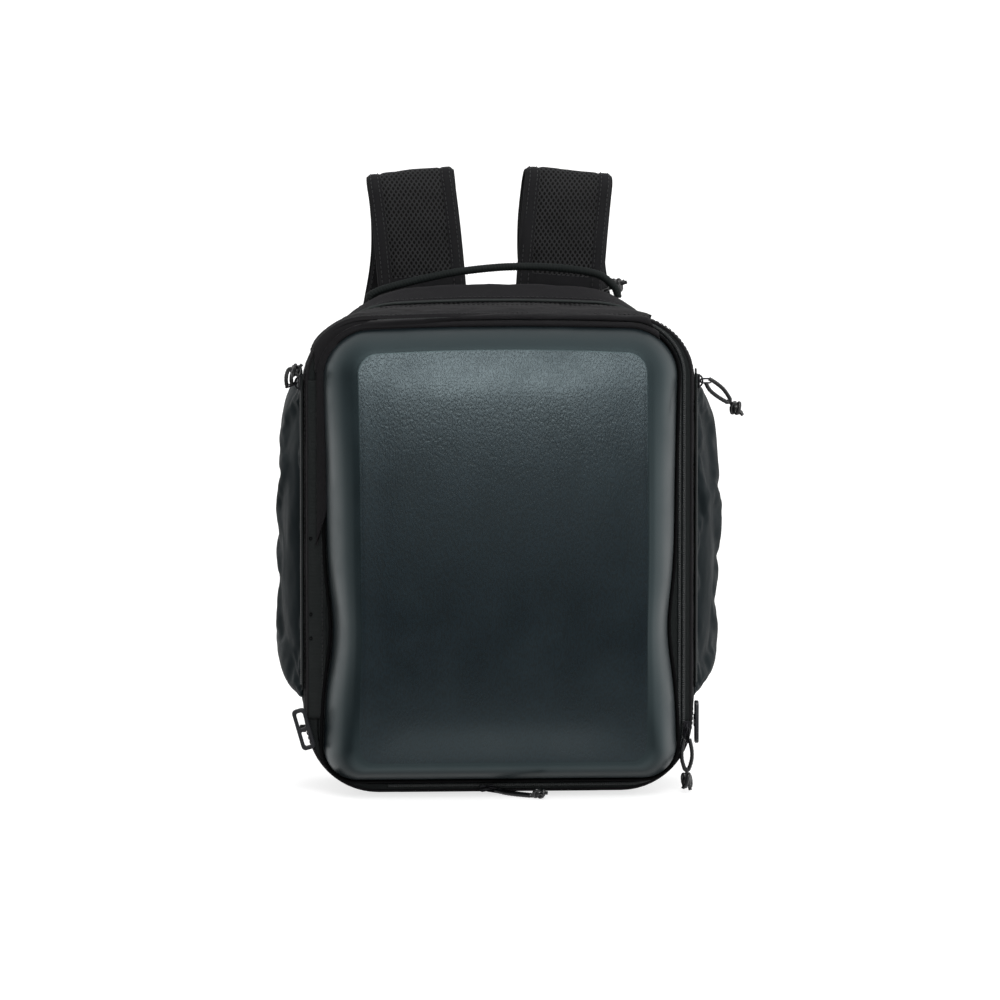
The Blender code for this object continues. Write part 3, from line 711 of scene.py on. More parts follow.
def make_camera():
    data = bpy.data.cameras.new("camera")
    data.lens, data.sensor_width = LENS, SENSOR
    camera = bpy.data.objects.new("camera", data)
    bpy.context.scene.collection.objects.link(camera)
    a, e = math.radians(AZIMUTH), math.radians(ELEVATION)
    back = Vector((math.sin(a) * math.cos(e), -math.cos(a) * math.cos(e), math.sin(e)))
    distance = VIEW_WIDTH * LENS / SENSOR
    camera.location = TARGET + back * distance
    camera.rotation_mode = "QUATERNION"
    camera.rotation_quaternion = (-back).to_track_quat("-Z", "Y")
    data.clip_end = 100
    bpy.context.scene.camera = camera


make_camera()


# -------- zip pulls

ZIPS = {
    # name: seat of the slider, run of the zip, way out of it, strand spread, how far the strands bow apart,
    # centreline from eye to knot, knot, its radii
    "rear_zip": (
        (72, 43.6, 389.8), (1, 0, 0), (0, 0, 1), (0, 1, 0), 0.2,
        ((80.5, 43.8, 393.2), (87, 44.3, 395.0), (93, 45, 397.4)), (101.6, 45, 400.9), (5.4, 5.4, 5.6),
    ),
    "right_pocket_zip": (
        (158.8, -47.4, 331), (0, 0, -1), (1, 0, 0), (0.63, 0, 0.77), 0.9,
        ((167.2, -47.6, 331.0), (171.5, -47.8, 326.5), (178, -48, 321), (183.5, -48, 315.8)),
        (190.2, -48, 309.0), (5.2, 5.4, 5.6),
    ),
    "left_pocket_zip": (
        (-158.8, -47.4, 331), (0, 0, -1), (-1, 0, 0), (1, 0, 0), 0.0,
        ((-167.8, -46.6, 328.8), (-168.4, -47, 333.5), (-168, -48.6, 338), (-167, -51, 341.3)),
        (-162.8, -58.4, 341.6), (4.8, 4.8, 4.8),
    ),
    "main_zip_side": (
        (150.2, -57.9, 52), (0, 0, -1), (0, -1, 0), (1, 0, 0), 1.0,
        ((150.2, -61.6, 43.6), (150.2, -62.4, 35), (150.2, -62.4, 27), (150.2, -62.2, 20.5)),
        (150.2, -63.4, 10.2), (5.2, 5.2, 6.4),
    ),
    "main_zip_base": (
        (-11, -57.9, 4.6), (1, 0, 0), (0, -1, 0), (0.69, 0.72, 0), 0.3,
        ((-2.5, -63.4, 3.4), (5, -69.2, 2.3), (14, -77, 2.0), (23, -85, 2.1)), (29.6, -91, 4.6), (5.8, 4.6, 4.2),
    ),
}


def pull_loop(spread, bow, centreline):
    """One strand out to the knot and one back, joined by a half turn just before the knot."""
    spread = Vector(spread).normalized() * STRAND_GAP / 2
    line = smooth_path(centreline, 2)
    gaps = [spread * (1 + bow * math.sin(math.pi * k / (len(line) - 1))) for k in range(len(line))]
    out = (line[-1] - line[-2]).normalized()
    turn = [
        line[-1] + spread * math.cos(a) + out * math.sin(a) * STRAND_GAP / 2
        for a in (math.pi * k / 6 for k in range(1, 6))
    ]
    out_strand = [p + gap for p, gap in zip(line, gaps)]
    back_strand = [p - gap for p, gap in zip(line, gaps)]
    return out_strand + turn + back_strand[::-1]


def braid(length, angle):
    return 1.0 + 0.05 * math.cos(4 * angle + 2.2 * length) + 0.05 * math.cos(4 * angle - 2.2 * length)


def knot_mesh(name, centre, radii, away, seed, neck):
    """A pulled-tight overhand knot: a neck from the loop's end, and two short tails the other way."""
    turn = Vector(away).to_track_quat("Z", "Y")
    swing = Matrix.Rotation(seed, 3, "Z")
    size = Vector(radii) - Vector((1.45, 1.45, 1.45))   # the strand's own radius, a little pressed in
    path = []
    for t in (2 * math.pi * k / 72 for k in range(72)):
        x, y = math.sin(t) + 2 * math.sin(2 * t), math.cos(t) - 2 * math.cos(2 * t)
        lobe = swing @ (Vector((x, y, -3 * math.sin(3 * t))) / 3)
        path.append(Vector(centre) + Vector([lobe[i] * size[i] for i in range(3)]))
    lumps = [tube(name + "_lobes", spaced(path, 0.6, True), 1.5, "cord", 10, (0.2, 0.3, 1), True, braid)]
    core = bmesh.new()
    bmesh.ops.create_icosphere(core, subdivisions=3, radius=1.0)
    bmesh.ops.scale(core, vec=[max(r * 0.72, 1.0) * MM for r in radii], verts=core.verts)
    mesh = baked(name, core)
    mesh.uv_layers.new(name="UVMap")
    mesh.transform(Matrix.Translation(Vector(centre) * MM))
    lumps.append(link(name + "_core", mesh, "cord"))
    for k, lean in enumerate((-0.35, 0.4)):
        start = Vector(centre) + turn @ Vector((lean * 3, 0.4 * lean, 1.5))
        end = Vector(centre) + turn @ Vector((lean * 8, lean, min(radii) + 2.6 - k))
        path = spaced([start, end], 0.5)
        lumps.append(tube(f"{name}_tail_{k}", path, 1.4, "cord", 10, (0.3, 1, 0.2), False, braid))
    path = spaced([Vector(neck), Vector(centre)], 0.5)
    lumps.append(tube(name + "_neck", path, 1.5, "cord", 10, (0.3, 1, 0.2), False, braid))
    return joined(name, lumps)


def slider_mesh(name, seat, run, outward):
    """A zip slider: two waisted plates and the bridge over them, which carries the pull's link."""
    place = axes_matrix(seat, run, outward)
    half = [(-5.6, 2.2), (-3.4, 3.1), (0.0, 2.5), (3.4, 3.1), (5.2, 3.2), (6.0, 2.2)]
    shape = half + [(x, -y) for x, y in reversed(half)]
    parts = []
    for part, thickness, rise in (("top", 1.1, 1.8), ("low", 1.0, 0.5)):
        seated = Matrix.Translation(Vector((0, rise, 0)) * MM) @ Matrix.Rotation(math.radians(90), 4, "X")
        parts.append(extruded(f"{name}_{part}", [shape], thickness, place @ seated, "metal", 0.35))
    turns = [math.pi * k / 16 for k in range(17)]
    bridge = [place @ (Vector((4.2 * math.cos(a), 2.2 + 2.4 * math.sin(a), 0)) * MM) / MM for a in turns]
    parts.append(tube(name + "_bridge", spaced(bridge, 0.4), 0.75, "metal", 8, (0.3, 0.2, 1)))
    return joined(name, parts)


def puller_link(name, seat, outward, eye):
    """The wire link from the slider's bridge to the start of the cord."""
    start = Vector(seat) + Vector(outward) * 3.6
    end = Vector(eye)
    along = (end - start).normalized()
    across = along.cross(Vector(outward)).normalized() * 1.7
    start, end = start + along * 0.9, end + along * 1.6
    loop = []
    for centre, sign in ((end, 1), (start, -1)):
        for k in range(9):
            a = math.pi / 2 - math.pi * k / 8
            loop.append(centre + along * sign * 1.6 * math.cos(a) + across * math.sin(a) * sign)
    return tube(name, spaced(loop, 0.5, True), 0.7, "metal", 8, Vector(outward), True)


def zip_pulls():
    for k, (name, (seat, run, outward, spread, bow, centreline, knot, radii)) in enumerate(ZIPS.items()):
        route = pull_loop(spread, bow, centreline)
        path = spaced(smooth_path(route, 4), 0.45)
        cord = tube(f"{name}_cord", path, CORD_D / 2, "cord", 12, (0.31, 0.22, 0.92), False, braid)
        away = Vector(centreline[-1]) - Vector(centreline[-2])
        bead = knot_mesh(f"{name}_knot", knot, radii, away, 0.7 * k, centreline[-1])
        for piece, node in ((cord, "pull_cord"), (bead, "pull_knot")):
            fitted(piece, f"{name}_pull", f"{name}_{node}")
        slider = slider_mesh(f"{name}_slider_body", seat, run, outward)
        fitted(slider, f"{name}_runner", f"{name}_slider")
        ring = puller_link(f"{name}_link", seat, outward, centreline[0])
        fitted(ring, f"{name}_pull")


zip_pulls()


# -------- front door

def shell_depth(z):
    """How far the raised panel stands in front of the rim at height z."""
    if z > SHELL_FULL_Z:
        return SHELL_DEPTH * (1 - 0.515 * ((z - SHELL_FULL_Z) / 175) ** 2)
    return SHELL_DEPTH * (1 - 0.333 * ((SHELL_FULL_Z - z) / 160) ** 2)


def ease(t):
    t = min(1.0, max(0.0, t))
    return t * t * (3 - 2 * t)


def shell_ring(t, fraction):
    """A ring of the bevel: t from 0 at the rim to 1 at the ridge, fraction of the full depth."""
    half_w = RIM_HALF_W - BEVEL_SIDE * t
    shape = outline(
        half_w, RIM_LOW + BEVEL_BOTTOM * t, RIM_HIGH - BEVEL_TOP * t,
        RIM_R_LOW + (RIDGE_R_LOW - RIM_R_LOW) * t, RIM_R_HIGH + (RIDGE_R_HIGH - RIM_R_HIGH) * t, RIM_CROWN,
    )
    ring = []
    for x, z in pinched(shape, half_w, 1 - 0.85 * t):
        fuller = 0.06 * math.sin(math.pi * min(t, 1.0)) * ease((85 - z) / 50)   # rounder towards the bottom
        ring.append(Vector((x, RIM_Y - (fraction + fuller) * shell_depth(z), z)))
    return ring


def panel_ring(inset):
    """A ring of the raised panel, inset from its ridge: a rounded shoulder, then a gentle crown."""
    ridge = RIM_HALF_W - BEVEL_SIDE
    left = 1 - inset / ridge
    shape = outline(
        ridge - inset, RIM_LOW + BEVEL_BOTTOM + inset, RIM_HIGH - BEVEL_TOP - inset,
        RIDGE_R_LOW * left, RIDGE_R_HIGH * left, RIM_CROWN,
    )
    ring = []
    for x, z in pinched(shape, ridge, 0.15):
        full = shell_depth(z)
        swell = 1.0 - 0.055 * (x / ridge) ** 2
        shoulder = LIP * ease(inset / 4.5) * ease((z - 30) / 60) * ease((352 - z) / 30)
        depth = full * (RIDGE_SHARE + (swell - RIDGE_SHARE) * ease(inset / 34)) + shoulder
        ring.append(Vector((x, RIM_Y - depth, z)))
    return ring


def front_shell():
    profile = smooth_path([(t, f, 0) for t, f in BEVEL_PROFILE], 7)
    rows = [shell_ring(p.x, p.y) for p in profile]
    bevel_rows = len(rows)
    insets = [0.6, 1.2, 1.8, 2.4, 3.1, 3.9, 5, 6.5, 8.5, 11, 14, 18, 23, 29, 36, 44, 53, 63, 74, 86, 98, 108]
    insets.append(RIM_HALF_W - BEVEL_SIDE - 0.0001)   # the two sides meet on the middle line
    rows += [panel_ring(d) for d in insets]
    shell = grid(
        "shell", rows, ["bevel", "panel", "shell_lining", "shell_lining"],
        closed=True, bands=lambda i, j: i >= bevel_rows,
    )
    thicken(facing(weld(shell), 1, -1), SHELL_WALL, inner=2)
    fitted(shell, "front_door", "front_shell")


def coil(name, line, up, skirt, body):
    """One half of a zip's coil: a low ribbed strip along the edge of its tape, sunk into it by skirt."""
    half = COIL_W / 2
    turns = [math.pi * k / 7 for k in range(8)]

    def section(k):
        rise = COIL_H * (0.55 + 0.45 * abs(math.sin(math.pi * (k / COIL_STEPS))))
        return [(half * math.cos(a), rise * math.sin(a)) for a in turns] + [(-half, -skirt), (half, -skirt)]
    strip = sweep(name, spaced(line, COIL_PITCH / COIL_STEPS), section, "coil", up)
    return fitted(strip, body)


def zipped_stretch(points):
    """The part of the main zip's line that opens: from the bottom's left end, round the right, over the top."""
    start = next(k for k, (x, z) in enumerate(points) if x < ZIP_END_X and z < 100)
    turned = points[start:] + points[:start]
    end = next(k for k, (x, z) in enumerate(turned) if x < -100 and z > 300)
    return [p for p in turned[:end] if not (p[0] < ZIP_END_X and p[1] < 300)]


def ring_band(name, inner, outer, y_front, thickness, material, rows=5):
    """A flat ring between two outlines, its front face at y_front."""
    loops = [blended(outer, inner, k / (rows - 1), y_front) for k in range(rows)]
    return thicken(grid(name, loops, material, closed=True), thickness)


def front_door():
    front_shell()
    rim = at_y(rim_outline(2.2), RIM_Y - 0.3)
    # the rim binding is a real cord round the shell; its near-black shadow_gap colour is painted shade where the
    # shell meets the tape
    piping("rim_binding", rim, 2.0, 1.35, "gap", "front_door", "shell_binding", sides=12)

    flange = ring_band("door_tape", rim_outline(-8.0), tape_outline(-0.4), TAPE_FRONT, 1.5, "strip")
    fitted(flange, "front_door", "door_flange")
    for label, side, body in (("door", -1, "front_door"), ("body", 1, "pack_body")):
        line = at_y(zipped_stretch(tape_outline(COIL_OFFSET * side)), TAPE_FRONT - 0.1)
        coil(f"main_coil_{label}", line, (0, -1, 0), 0.3, body)
    top_welt()
    door_net()


def door_net():
    """The stretch net pocket on the inside of the door: a knotted net in an elastic binding."""
    low, high = box_mm("lid_net_pocket")
    y = (low.y + high.y) / 2
    edge = outline(high.x - 2, low.z + 2, high.z - 2, 20, 4)
    cell = 6.5
    bm = bmesh.new()
    made = {}

    def corner(i, k):
        if (i, k) not in made:
            made[(i, k)] = bm.verts.new(Vector((i * cell / 2, y, low.z + k * cell / 2)) * MM)
        return made[(i, k)]
    across, up = int((high.x - 5) / cell * 2), int((high.z - low.z - 4) / cell * 2)
    for i in range(-across, across):
        for k in range(1, up):
            x, z = i * cell / 2, low.z + k * cell / 2
            near_corner = abs(x) > high.x - 24 and z < low.z + 22
            if (i + k) % 2 == 0 and not near_corner:
                bm.faces.new((corner(i, k - 1), corner(i + 1, k), corner(i, k + 1), corner(i - 1, k)))
    net = link("door_net", baked("door_net", bm), "thread")
    wires = net.modifiers.new("wires", "WIREFRAME")
    wires.thickness = 0.9 * MM
    apply_modifiers(net)
    fitted(net, "front_door", "lid_net_pocket")
    piping("door_net_binding", at_y(edge, y), 3.0, 1.3, "webbing", "front_door")


# -------- fabric body

def body_band(name, y_front, y_back, wall, rows, puff, seed):
    """A band of the body with its seams pulled in and the cloth between them slightly full."""
    loops = []
    for y in (y_back + (y_front - y_back) * k / rows for k in range(rows + 1)):
        t = (y - y_front) / (y_back - y_front)
        full = puff * (math.sin(math.pi * t) ** 0.6) if 0 < t < 1 else 0.0
        loops.append(at_y(body_outline(y, full - 0.4), y))
    band = grid(name, loops, ["fabric", "board"], closed=True)
    ruffle(band, 0.9, 26, seed, (1, 0.6, 1), lambda co: ease((co.z - 6) / 12))
    return thicken(band, wall, inner=1)


# Share of the way down the flap's hanging edge, or from the zip to the rim, and the depth there.
FLAP_FALL = ((0.08, -59.4), (0.25, -61.2), (0.5, -62.2), (0.75, -62.4), (1.0, -62.0))
WELT_RISE = ((0.0, -61.6), (0.12, -62.8), (0.35, -64.0), (0.6, -64.4), (0.85, -63.8), (1.0, -62.4))


def over_the_top(points, x_from, x_to):
    """The stretch of an outline that runs over the top, between two X limits, left to right."""
    middle = sum(z for _, z in points) / len(points)
    top = sorted((p for p in points if p[1] > middle), key=lambda p: p[0])
    return [p for p in top if x_from <= p[0] <= x_to]


def top_strip(name, low, high, lift, thickness, material, rows):
    """A strip that lies over the top of the body, lift clear of it."""
    count = len(over_the_top(body_outline(0.0), low.x, high.x))
    loops = []
    for y in (low.y + (high.y - low.y) * k / rows for k in range(rows + 1)):
        line = over_the_top(body_outline(y, lift + thickness), low.x, high.x)
        loops.append(evenly(at_y(line, y), count))
    return thicken(grid(name, loops, material), thickness)


def storm_flap(low, high):
    """The flap over the top of the zip: from its seam it runs forward and hangs over the coil."""
    loops = []
    for y in np.linspace(high.y, low.y + 1.5, 14):
        loops.append(evenly(at_y(over_the_top(body_outline(y, 2.8), low.x, high.x), y), 220))
    front, hem = loops[-1], evenly(at_y(over_the_top(tape_outline(0.8), low.x, high.x), 0), 220)
    loops += [blended(front, hem, t, y) for t, y in FLAP_FALL]
    flap = facing(grid("storm_flap", loops, "band"), 2, 1)
    return thicken(ruffle(flap, 0.7, 22, 4, (1, 0.7, 1)), 1.6)


def top_welt():
    """Padded cloth between the shell and the zip, over the top of the door."""
    outer, inner = (
        evenly(at_y(over_the_top(line, -132, 128), 0), 200) for line in (tape_outline(0.4), rim_outline(-1.0))
    )
    welt = facing(grid("top_welt", [blended(outer, inner, t, y) for t, y in WELT_RISE], "band"), 1, -1)
    return fitted(thicken(welt, 1.2), "front_door")


def ring_stitches(name, y, grow, limits=None):
    """A row of thread round the body at depth y, or over its top between two X limits."""
    points = body_outline(y, grow)
    line = at_y(over_the_top(points, *limits) if limits else points, y)
    path = spaced(line, STITCH_PITCH, limits is None)
    out = unit((path - np.array((0, 0, 200.0))) * np.array((1, 0, 1)))
    return stitches(name, [(path, out)], "pack_body")


def fabric_body():
    for place, wall, puff, seed in (("main", 3.4, 0.9, 1), ("rear", 2.6, 1.1, 2)):
        low, high = box_mm(f"{place}_gusset")
        band = body_band(f"{place}_band", low.y, high.y, wall, 20, puff, seed)
        fitted(band, "pack_body", f"{place}_gusset")

    outer = body_outline(BODY_LOW.y, -0.8)
    tape = ring_band("body_tape", tape_outline(0.4), outer, TAPE_FRONT, 1.5, "strip")
    fitted(tape, "pack_body", "main_zip_tape")
    edge = at_y(body_outline(BODY_LOW.y, 0.2), TAPE_FRONT + 0.6)
    piping("front_piping", edge, 2.5, 1.3, "band", "pack_body")

    flap_low, flap_high = box_mm("top_storm_flap")
    flap = storm_flap(flap_low, flap_high)
    fitted(flap, "pack_body", "top_storm_flap")
    tape = top_strip("rear_tape", *box_mm("rear_zip_tape"), 0.4, 0.9, "strip", 4)
    fitted(tape, "pack_body", "rear_zip_tape")
    seam = at_y(over_the_top(body_outline(0.0, 1.6), -150.0, 150.0), 0.0)
    # the seam piping is drawn in the lighter highlight material: a painted highlight along the seam
    piping("top_seam", seam, 1.5, 1.15, "highlight", "pack_body", "seam_piping", closed=False)

    for place, y, grow in (("front", -51.0, 0.5), ("middle", -4.5, 0.5), ("rear", 5.5, 0.5), ("back", 38.5, 0.3)):
        ring_stitches(f"band_stitches_{place}", y, grow)
    for place, y, grow in (("front", -54.6, 2.9), ("back", -27.0, 3.2)):
        ring_stitches(f"flap_stitches_{place}", y, grow, (flap_low.x + 2, flap_high.x - 2))


fabric_body()
front_door()


# -------- padding and inner walls

def padding():
    low, high = box_mm("bay_back_foam")
    shape = inset_outline(high.x, low.z, high.z - 6, 72, 71, 6)
    foam = slab("bay_foam", shape, flat_profile(low.y, high.y, 2.5, 140), "lining")
    fitted(foam, "pack_body", "bay_back_foam")
    for node, axis in (("divider_shelf", 0), ("divider_upright", 2), ("divider_short", 0)):
        low, high = box_mm(node)
        pad = bar(node.replace("divider", "padded"), low, high, 3.2, 0.6, "lining", axis)
        fitted(pad, "pack_body", node)
        middle = (low + high) / 2
        start, end = middle.copy(), middle.copy()
        start[axis], end[axis] = low[axis] + 4, high[axis] - 4
        start.y = end.y = low.y - 0.1
        piping(f"{node}_binding", [start, end], 4.0, 1.0, "webbing", "pack_body", closed=False, sides=8)
    low, high = box_mm("partition_panel")
    shape = inset_outline(high.x, low.z, high.z - 8, 81, 74, 8)
    board = slab("partition", shape, flat_profile(low.y, high.y, 0.5, 140), "board")
    fitted(board, "pack_body", "partition_panel")


padding()


# -------- side pockets

def pocket_rows(side, count_z, count_y, fullness):
    """The domed shape of a pocket, with steep ends and sides."""
    low_z, high_z = POUCH_LOW.z, POUCH_HIGH.z
    front, rear = POUCH_LOW.y, POUCH_HIGH.y
    base, bulge = POUCH_LOW.x, POUCH_HIGH.x - POUCH_LOW.x + (3.0 if side > 0 else 0.8)
    rows = []
    for i in range(count_z + 1):
        z = (low_z + high_z) / 2 - math.cos(math.pi * i / count_z) * (high_z - low_z) / 2
        t = (z - (low_z + high_z) / 2) / ((high_z - low_z) / 2)
        tall = max(0.0, 1 - abs(t) ** (1.75 if t > 0 else 3.0)) ** 0.5
        row = []
        for k in range(count_y + 1):
            u = (1 - math.cos(math.pi * k / count_y)) / 2
            swell = max(0.0, 1 - abs(2 * u - 1) ** 2.6) ** 0.6
            y = front + (rear - front) * u
            row.append(mirrored((base + bulge * tall * swell * fullness, y, z), side))
        rows.append(row)
    return rows


def puffed(obj, pressure, last_frame, slack, cap):
    """Runs cloth with its rim held: the skin fills and wrinkles. Nothing moves further than cap."""
    before = np.array([v.co for v in obj.data.vertices])
    rim = obj.vertex_groups.new(name="rim")
    bm = bmesh.new()
    bm.from_mesh(obj.data)
    held = [v.index for v in bm.verts if v.is_boundary]
    bm.free()
    rim.add(held, 1.0, "REPLACE")
    cloth = obj.modifiers.new("cloth", "CLOTH")
    settings = cloth.settings
    settings.quality = 6
    settings.mass = 0.25
    settings.tension_stiffness = settings.compression_stiffness = 12
    settings.shear_stiffness = 4
    settings.bending_stiffness = 0.35
    settings.vertex_group_mass = "rim"
    settings.shrink_min = -slack
    settings.use_pressure = True
    settings.uniform_pressure_force = pressure
    settings.effector_weights.gravity = 0
    scene = bpy.context.scene
    cloth.point_cache.frame_start, cloth.point_cache.frame_end = 1, last_frame
    for number in range(1, last_frame + 1):
        scene.frame_set(number)
    apply_modifiers(obj)
    scene.frame_set(1)
    move = np.array([v.co for v in obj.data.vertices]) - before
    far = np.linalg.norm(move, axis=1, keepdims=True)
    after = before + move * np.minimum(1.0, cap * MM / np.maximum(far, 1e-9))
    obj.data.vertices.foreach_set("co", after.ravel())
    obj.data.update()


def side_pockets():
    for label, side in SIDES:
        rows = pocket_rows(side, 84, 34, 0.93)
        if side > 0:
            rows = [row[::-1] for row in rows]
        pouch = facing(weld(grid(f"{label}_pocket", rows, "nylon")), 0, side)
        ruffle(pouch, 0.9, 24, 5 + side, (1, 0.5, 1.4), lambda co: ease((co.x * side - POUCH_LOW.x - 1) / 8))
        puffed(pouch, 1.2, 18, 0.05, 5.0)
        for vertex in pouch.data.vertices:
            reach = vertex.co.x * side / MM
            vertex.co.x = side * MM * min(max(reach, POUCH_LOW.x + 0.2), POUCH_HIGH.x + 4.5)
        smooth = pouch.modifiers.new("smooth", "SUBSURF")
        smooth.levels = smooth.render_levels = 1
        apply_modifiers(pouch)
        thicken(pouch, 1.6)
        fitted(pouch, f"{label}_pocket", f"{label}_pocket_pouch")
        pocket_zip(label, side)


def pocket_zip(label, side):
    low, high = box_mm(f"{label}_pocket_zip_tape")
    x = high.x if side > 0 else low.x
    middle = (low.y + high.y) / 2
    shape = [
        (a + middle, b + (low.z + high.z) / 2) for a, b in rounded_rect(high.y - low.y, high.z - low.z, 1.5)
    ]
    rows = [[Vector((x - side * d, a, b)) for a, b in shape] for d in (1.0, 0.2, 0.0)]
    tape = planar_uv(weld(grid(f"{label}_pocket_tape", rows, "strip", closed=True, capped=True)), 1, 2)
    fitted(tape, "pack_body", f"{label}_pocket_zip_tape")
    for part, way in (("front", -1), ("rear", 1)):
        y = middle + way * COIL_OFFSET
        line = [(x, y, low.z + 4), (x, y, high.z - 4)]
        coil(f"{label}_pocket_coil_{part}", line, (side, 0, 0), 0.2, "pack_body")
    heights = np.linspace(POUCH_LOW.z + 8, POUCH_HIGH.z - 8, 60)
    edge = [Vector((side * (POUCH_LOW.x + 0.6), POUCH_LOW.y + 0.9, z)) for z in heights]
    welt = tube(f"{label}_pocket_welt", edge, 0.9, "band", 10, (1, 0, 0))
    fitted(welt, f"{label}_pocket")


side_pockets()


# -------- harness panel and straps

def back_pad(label, side):
    """A spacer-mesh pad with rounded edges and three sewn channels across it."""
    low, high = box_mm(f"{label}_back_pad")
    rise = high.y - low.y
    rows = []
    for i in range(121):
        z = low.z + (high.z - low.z) * i / 120
        row = []
        for k in range(41):
            x = low.x + (high.x - low.x) * k / 40
            from_edge = min(x - low.x, high.x - x, z - low.z, high.z - z)
            lift = rise * max(0.0, 1 - (1 - min(1.0, from_edge / 9)) ** 2) ** 0.5
            up = (z - low.z) / (high.z - low.z)
            channel = sum(math.exp(-((up - c) / 0.018) ** 2) for c in (0.25, 0.5, 0.75))
            lift *= 1 - 0.45 * min(1.0, channel)
            row.append(Vector((x, low.y + lift, z)))
        rows.append(row)
    pad = facing(planar_uv(grid(f"{label}_pad", rows, ["mesh", "border"])), 1, 1)
    bm = bmesh.new()
    bm.from_mesh(pad.data)
    bmesh.ops.contextual_create(bm, geom=[e for e in bm.edges if e.is_boundary])
    bmesh.ops.recalc_face_normals(bm, faces=bm.faces)
    bm.to_mesh(pad.data)
    bm.free()
    fitted(pad, "rear_panel", f"{label}_back_pad")
    middle = (low + high) / 2
    rim = rounded_rect(high.x - low.x + 1.4, high.z - low.z + 1.4, 4, 5, middle.x, middle.z)
    piping(f"{label}_pad_trim", at_y(rim, low.y + 0.9), 2.5, 1.0, "webbing", "rear_panel", sides=8)


def harness_panel():
    low, high = box_mm("harness_panel")
    shape = inset_outline(high.x, low.z, high.z - 4, 60, 88, 4)
    panel = slab("harness", shape, flat_profile(low.y, high.y, 1.8, 140), "fabric")
    fitted(panel, "rear_panel", "harness_panel")
    edge = at_y(shape(0.6), high.y - 0.3)
    piping("harness_piping", edge, 2.5, 1.25, "webbing", "rear_panel")
    stitches("harness_stitches", [(at_y(shape(5.0), high.y + 0.1), (0, 1, 0))], "rear_panel")
    for label, side in SIDES:
        back_pad(label, side)
        low_tab, high_tab = box_mm(f"{label}_webbing_tab")
        middle, half = (low_tab + high_tab) / 2, (high_tab - low_tab) / 2
        tab_shape = [(-half.x, -half.z), (half.x, -half.z), (half.x * 0.64, half.z), (-half.x * 0.64, half.z)]
        place = axes_matrix(middle, (1, 0, 0), (0, 0, 1))
        tab = extruded(f"{label}_tab", [tab_shape], 2.5, place, "webbing", 0.5)
        fitted(tab, "rear_panel", f"{label}_webbing_tab")
        x, z = middle.x, middle.z
        cross = [(x - 7, z - 9), (x + 7, z - 9), (x + 5, z + 6), (x - 5, z + 6), (x - 7, z - 9), (x + 5, z + 6)]
        stitches(f"{label}_tab_stitches", [(at_y(cross, high_tab.y + 0.1), (0, 1, 0))], "rear_panel")
    low, high = box_mm("strap_yoke")

    def yoke_shape(d):
        w, h, r = 2 * (high.x - d), high.z - low.z - 2 * d, max(0.4, 4 - d)
        return [(a, b + (low.z + high.z) / 2) for a, b in rounded_rect(w, h, r, 6)]
    yoke = slab("yoke", yoke_shape, flat_profile(low.y, high.y, 0.9, 12), "webbing")
    fitted(yoke, "rear_panel", "strap_yoke")
    reach = high.x * 0.96
    lines = [([(-reach, high.y, z), (reach, high.y, z)], (0, 1, 0)) for z in (low.z + 3, high.z - 3)]
    stitches("yoke_stitches", lines, "rear_panel")


STRAP_ROUTE = (
    # x, y, z, width, tilt of the width in the X-Z plane
    (54.0, 57.8, 346.0, 69.0, -5.5),
    (54.6, 58.6, 375.0, 69.0, -5.5),
    (56.2, 61.0, 402.0, 69.0, -5.5),
    (59.5, 66.0, 440.0, 69.0, -5.5),
    (63.0, 72.5, 472.0, 69.0, -5.5),
    (64.6, 77.5, 484.0, 69.0, -5.5),
    (64.4, 84.5, 488.5, 69.0, -5.5),
    (63.4, 92.0, 484.5, 69.0, -5.0),
    (61.8, 97.0, 471.0, 69.0, -4.0),
    (59.8, 102.0, 445.0, 69.0, -2.0),
    (60.5, 105.5, 415.0, 69.0, 2.0),
    (66.0, 106.8, 382.0, 68.0, 8.0),
    (76.5, 107.2, 336.0, 66.0, 12.0),
    (89.0, 106.4, 286.0, 63.0, 14.0),
    (102.0, 104.0, 235.0, 58.0, 13.0),
    (116.0, 97.0, 165.0, 48.0, 11.0),
)
END_TILT = STRAP_ROUTE[-1][4]
WEB_ROUTE = ((120.9, 94.5, 140.4), (123.6, 87.0, 109.0), (119.6, 74.0, 76.0), (114.5, 59.5, 51.6))
STRAP_SEAM_Z = 405.0          # height of the sewn end of the mesh on the front run


def band_axes(path, k, tilt):
    """Directions across and out of a flat band at point k of its path, its width tilted in X-Z."""
    along = (path[min(k + 1, len(path) - 1)] - path[max(k - 1, 0)]).normalized()
    across = Vector((math.cos(tilt), 0.0, math.sin(tilt)))
    across = (across - across.dot(along) * along).normalized()
    return across, along.cross(across)


def strap_frames(side):
    """The strap's centreline at fine steps, with half its width, its across and its depth directions."""
    steps = 12
    path = smooth_path([mirrored(p[:3], side) for p in STRAP_ROUTE], steps)
    knots = np.arange(len(STRAP_ROUTE)) * steps
    widths = np.interp(range(len(path)), knots, [p[3] for p in STRAP_ROUTE])
    tilts = np.interp(range(len(path)), knots, [p[4] * side for p in STRAP_ROUTE])
    return [(point, widths[k] / 2, *band_axes(path, k, math.radians(tilts[k]))) for k, point in enumerate(path)]


def strap_half(s):
    """Half thickness of the strap at share s of its half width: crowned mesh, a sewn groove, a thin border."""
    full = STRAP_T / 2
    sewn_in = 0.9 * math.exp(-(((s - STRAP_GROOVE) / 0.05) ** 2))
    if s < STRAP_GROOVE:
        return full * (0.93 + 0.07 * (1 - (s / STRAP_GROOVE) ** 2)) - sewn_in
    edge = (s - STRAP_GROOVE) / (1 - STRAP_GROOVE)
    return full * (0.84 - 0.1 * edge) * max(0.0, 1 - edge**6) ** 0.5 + 0.4 - sewn_in


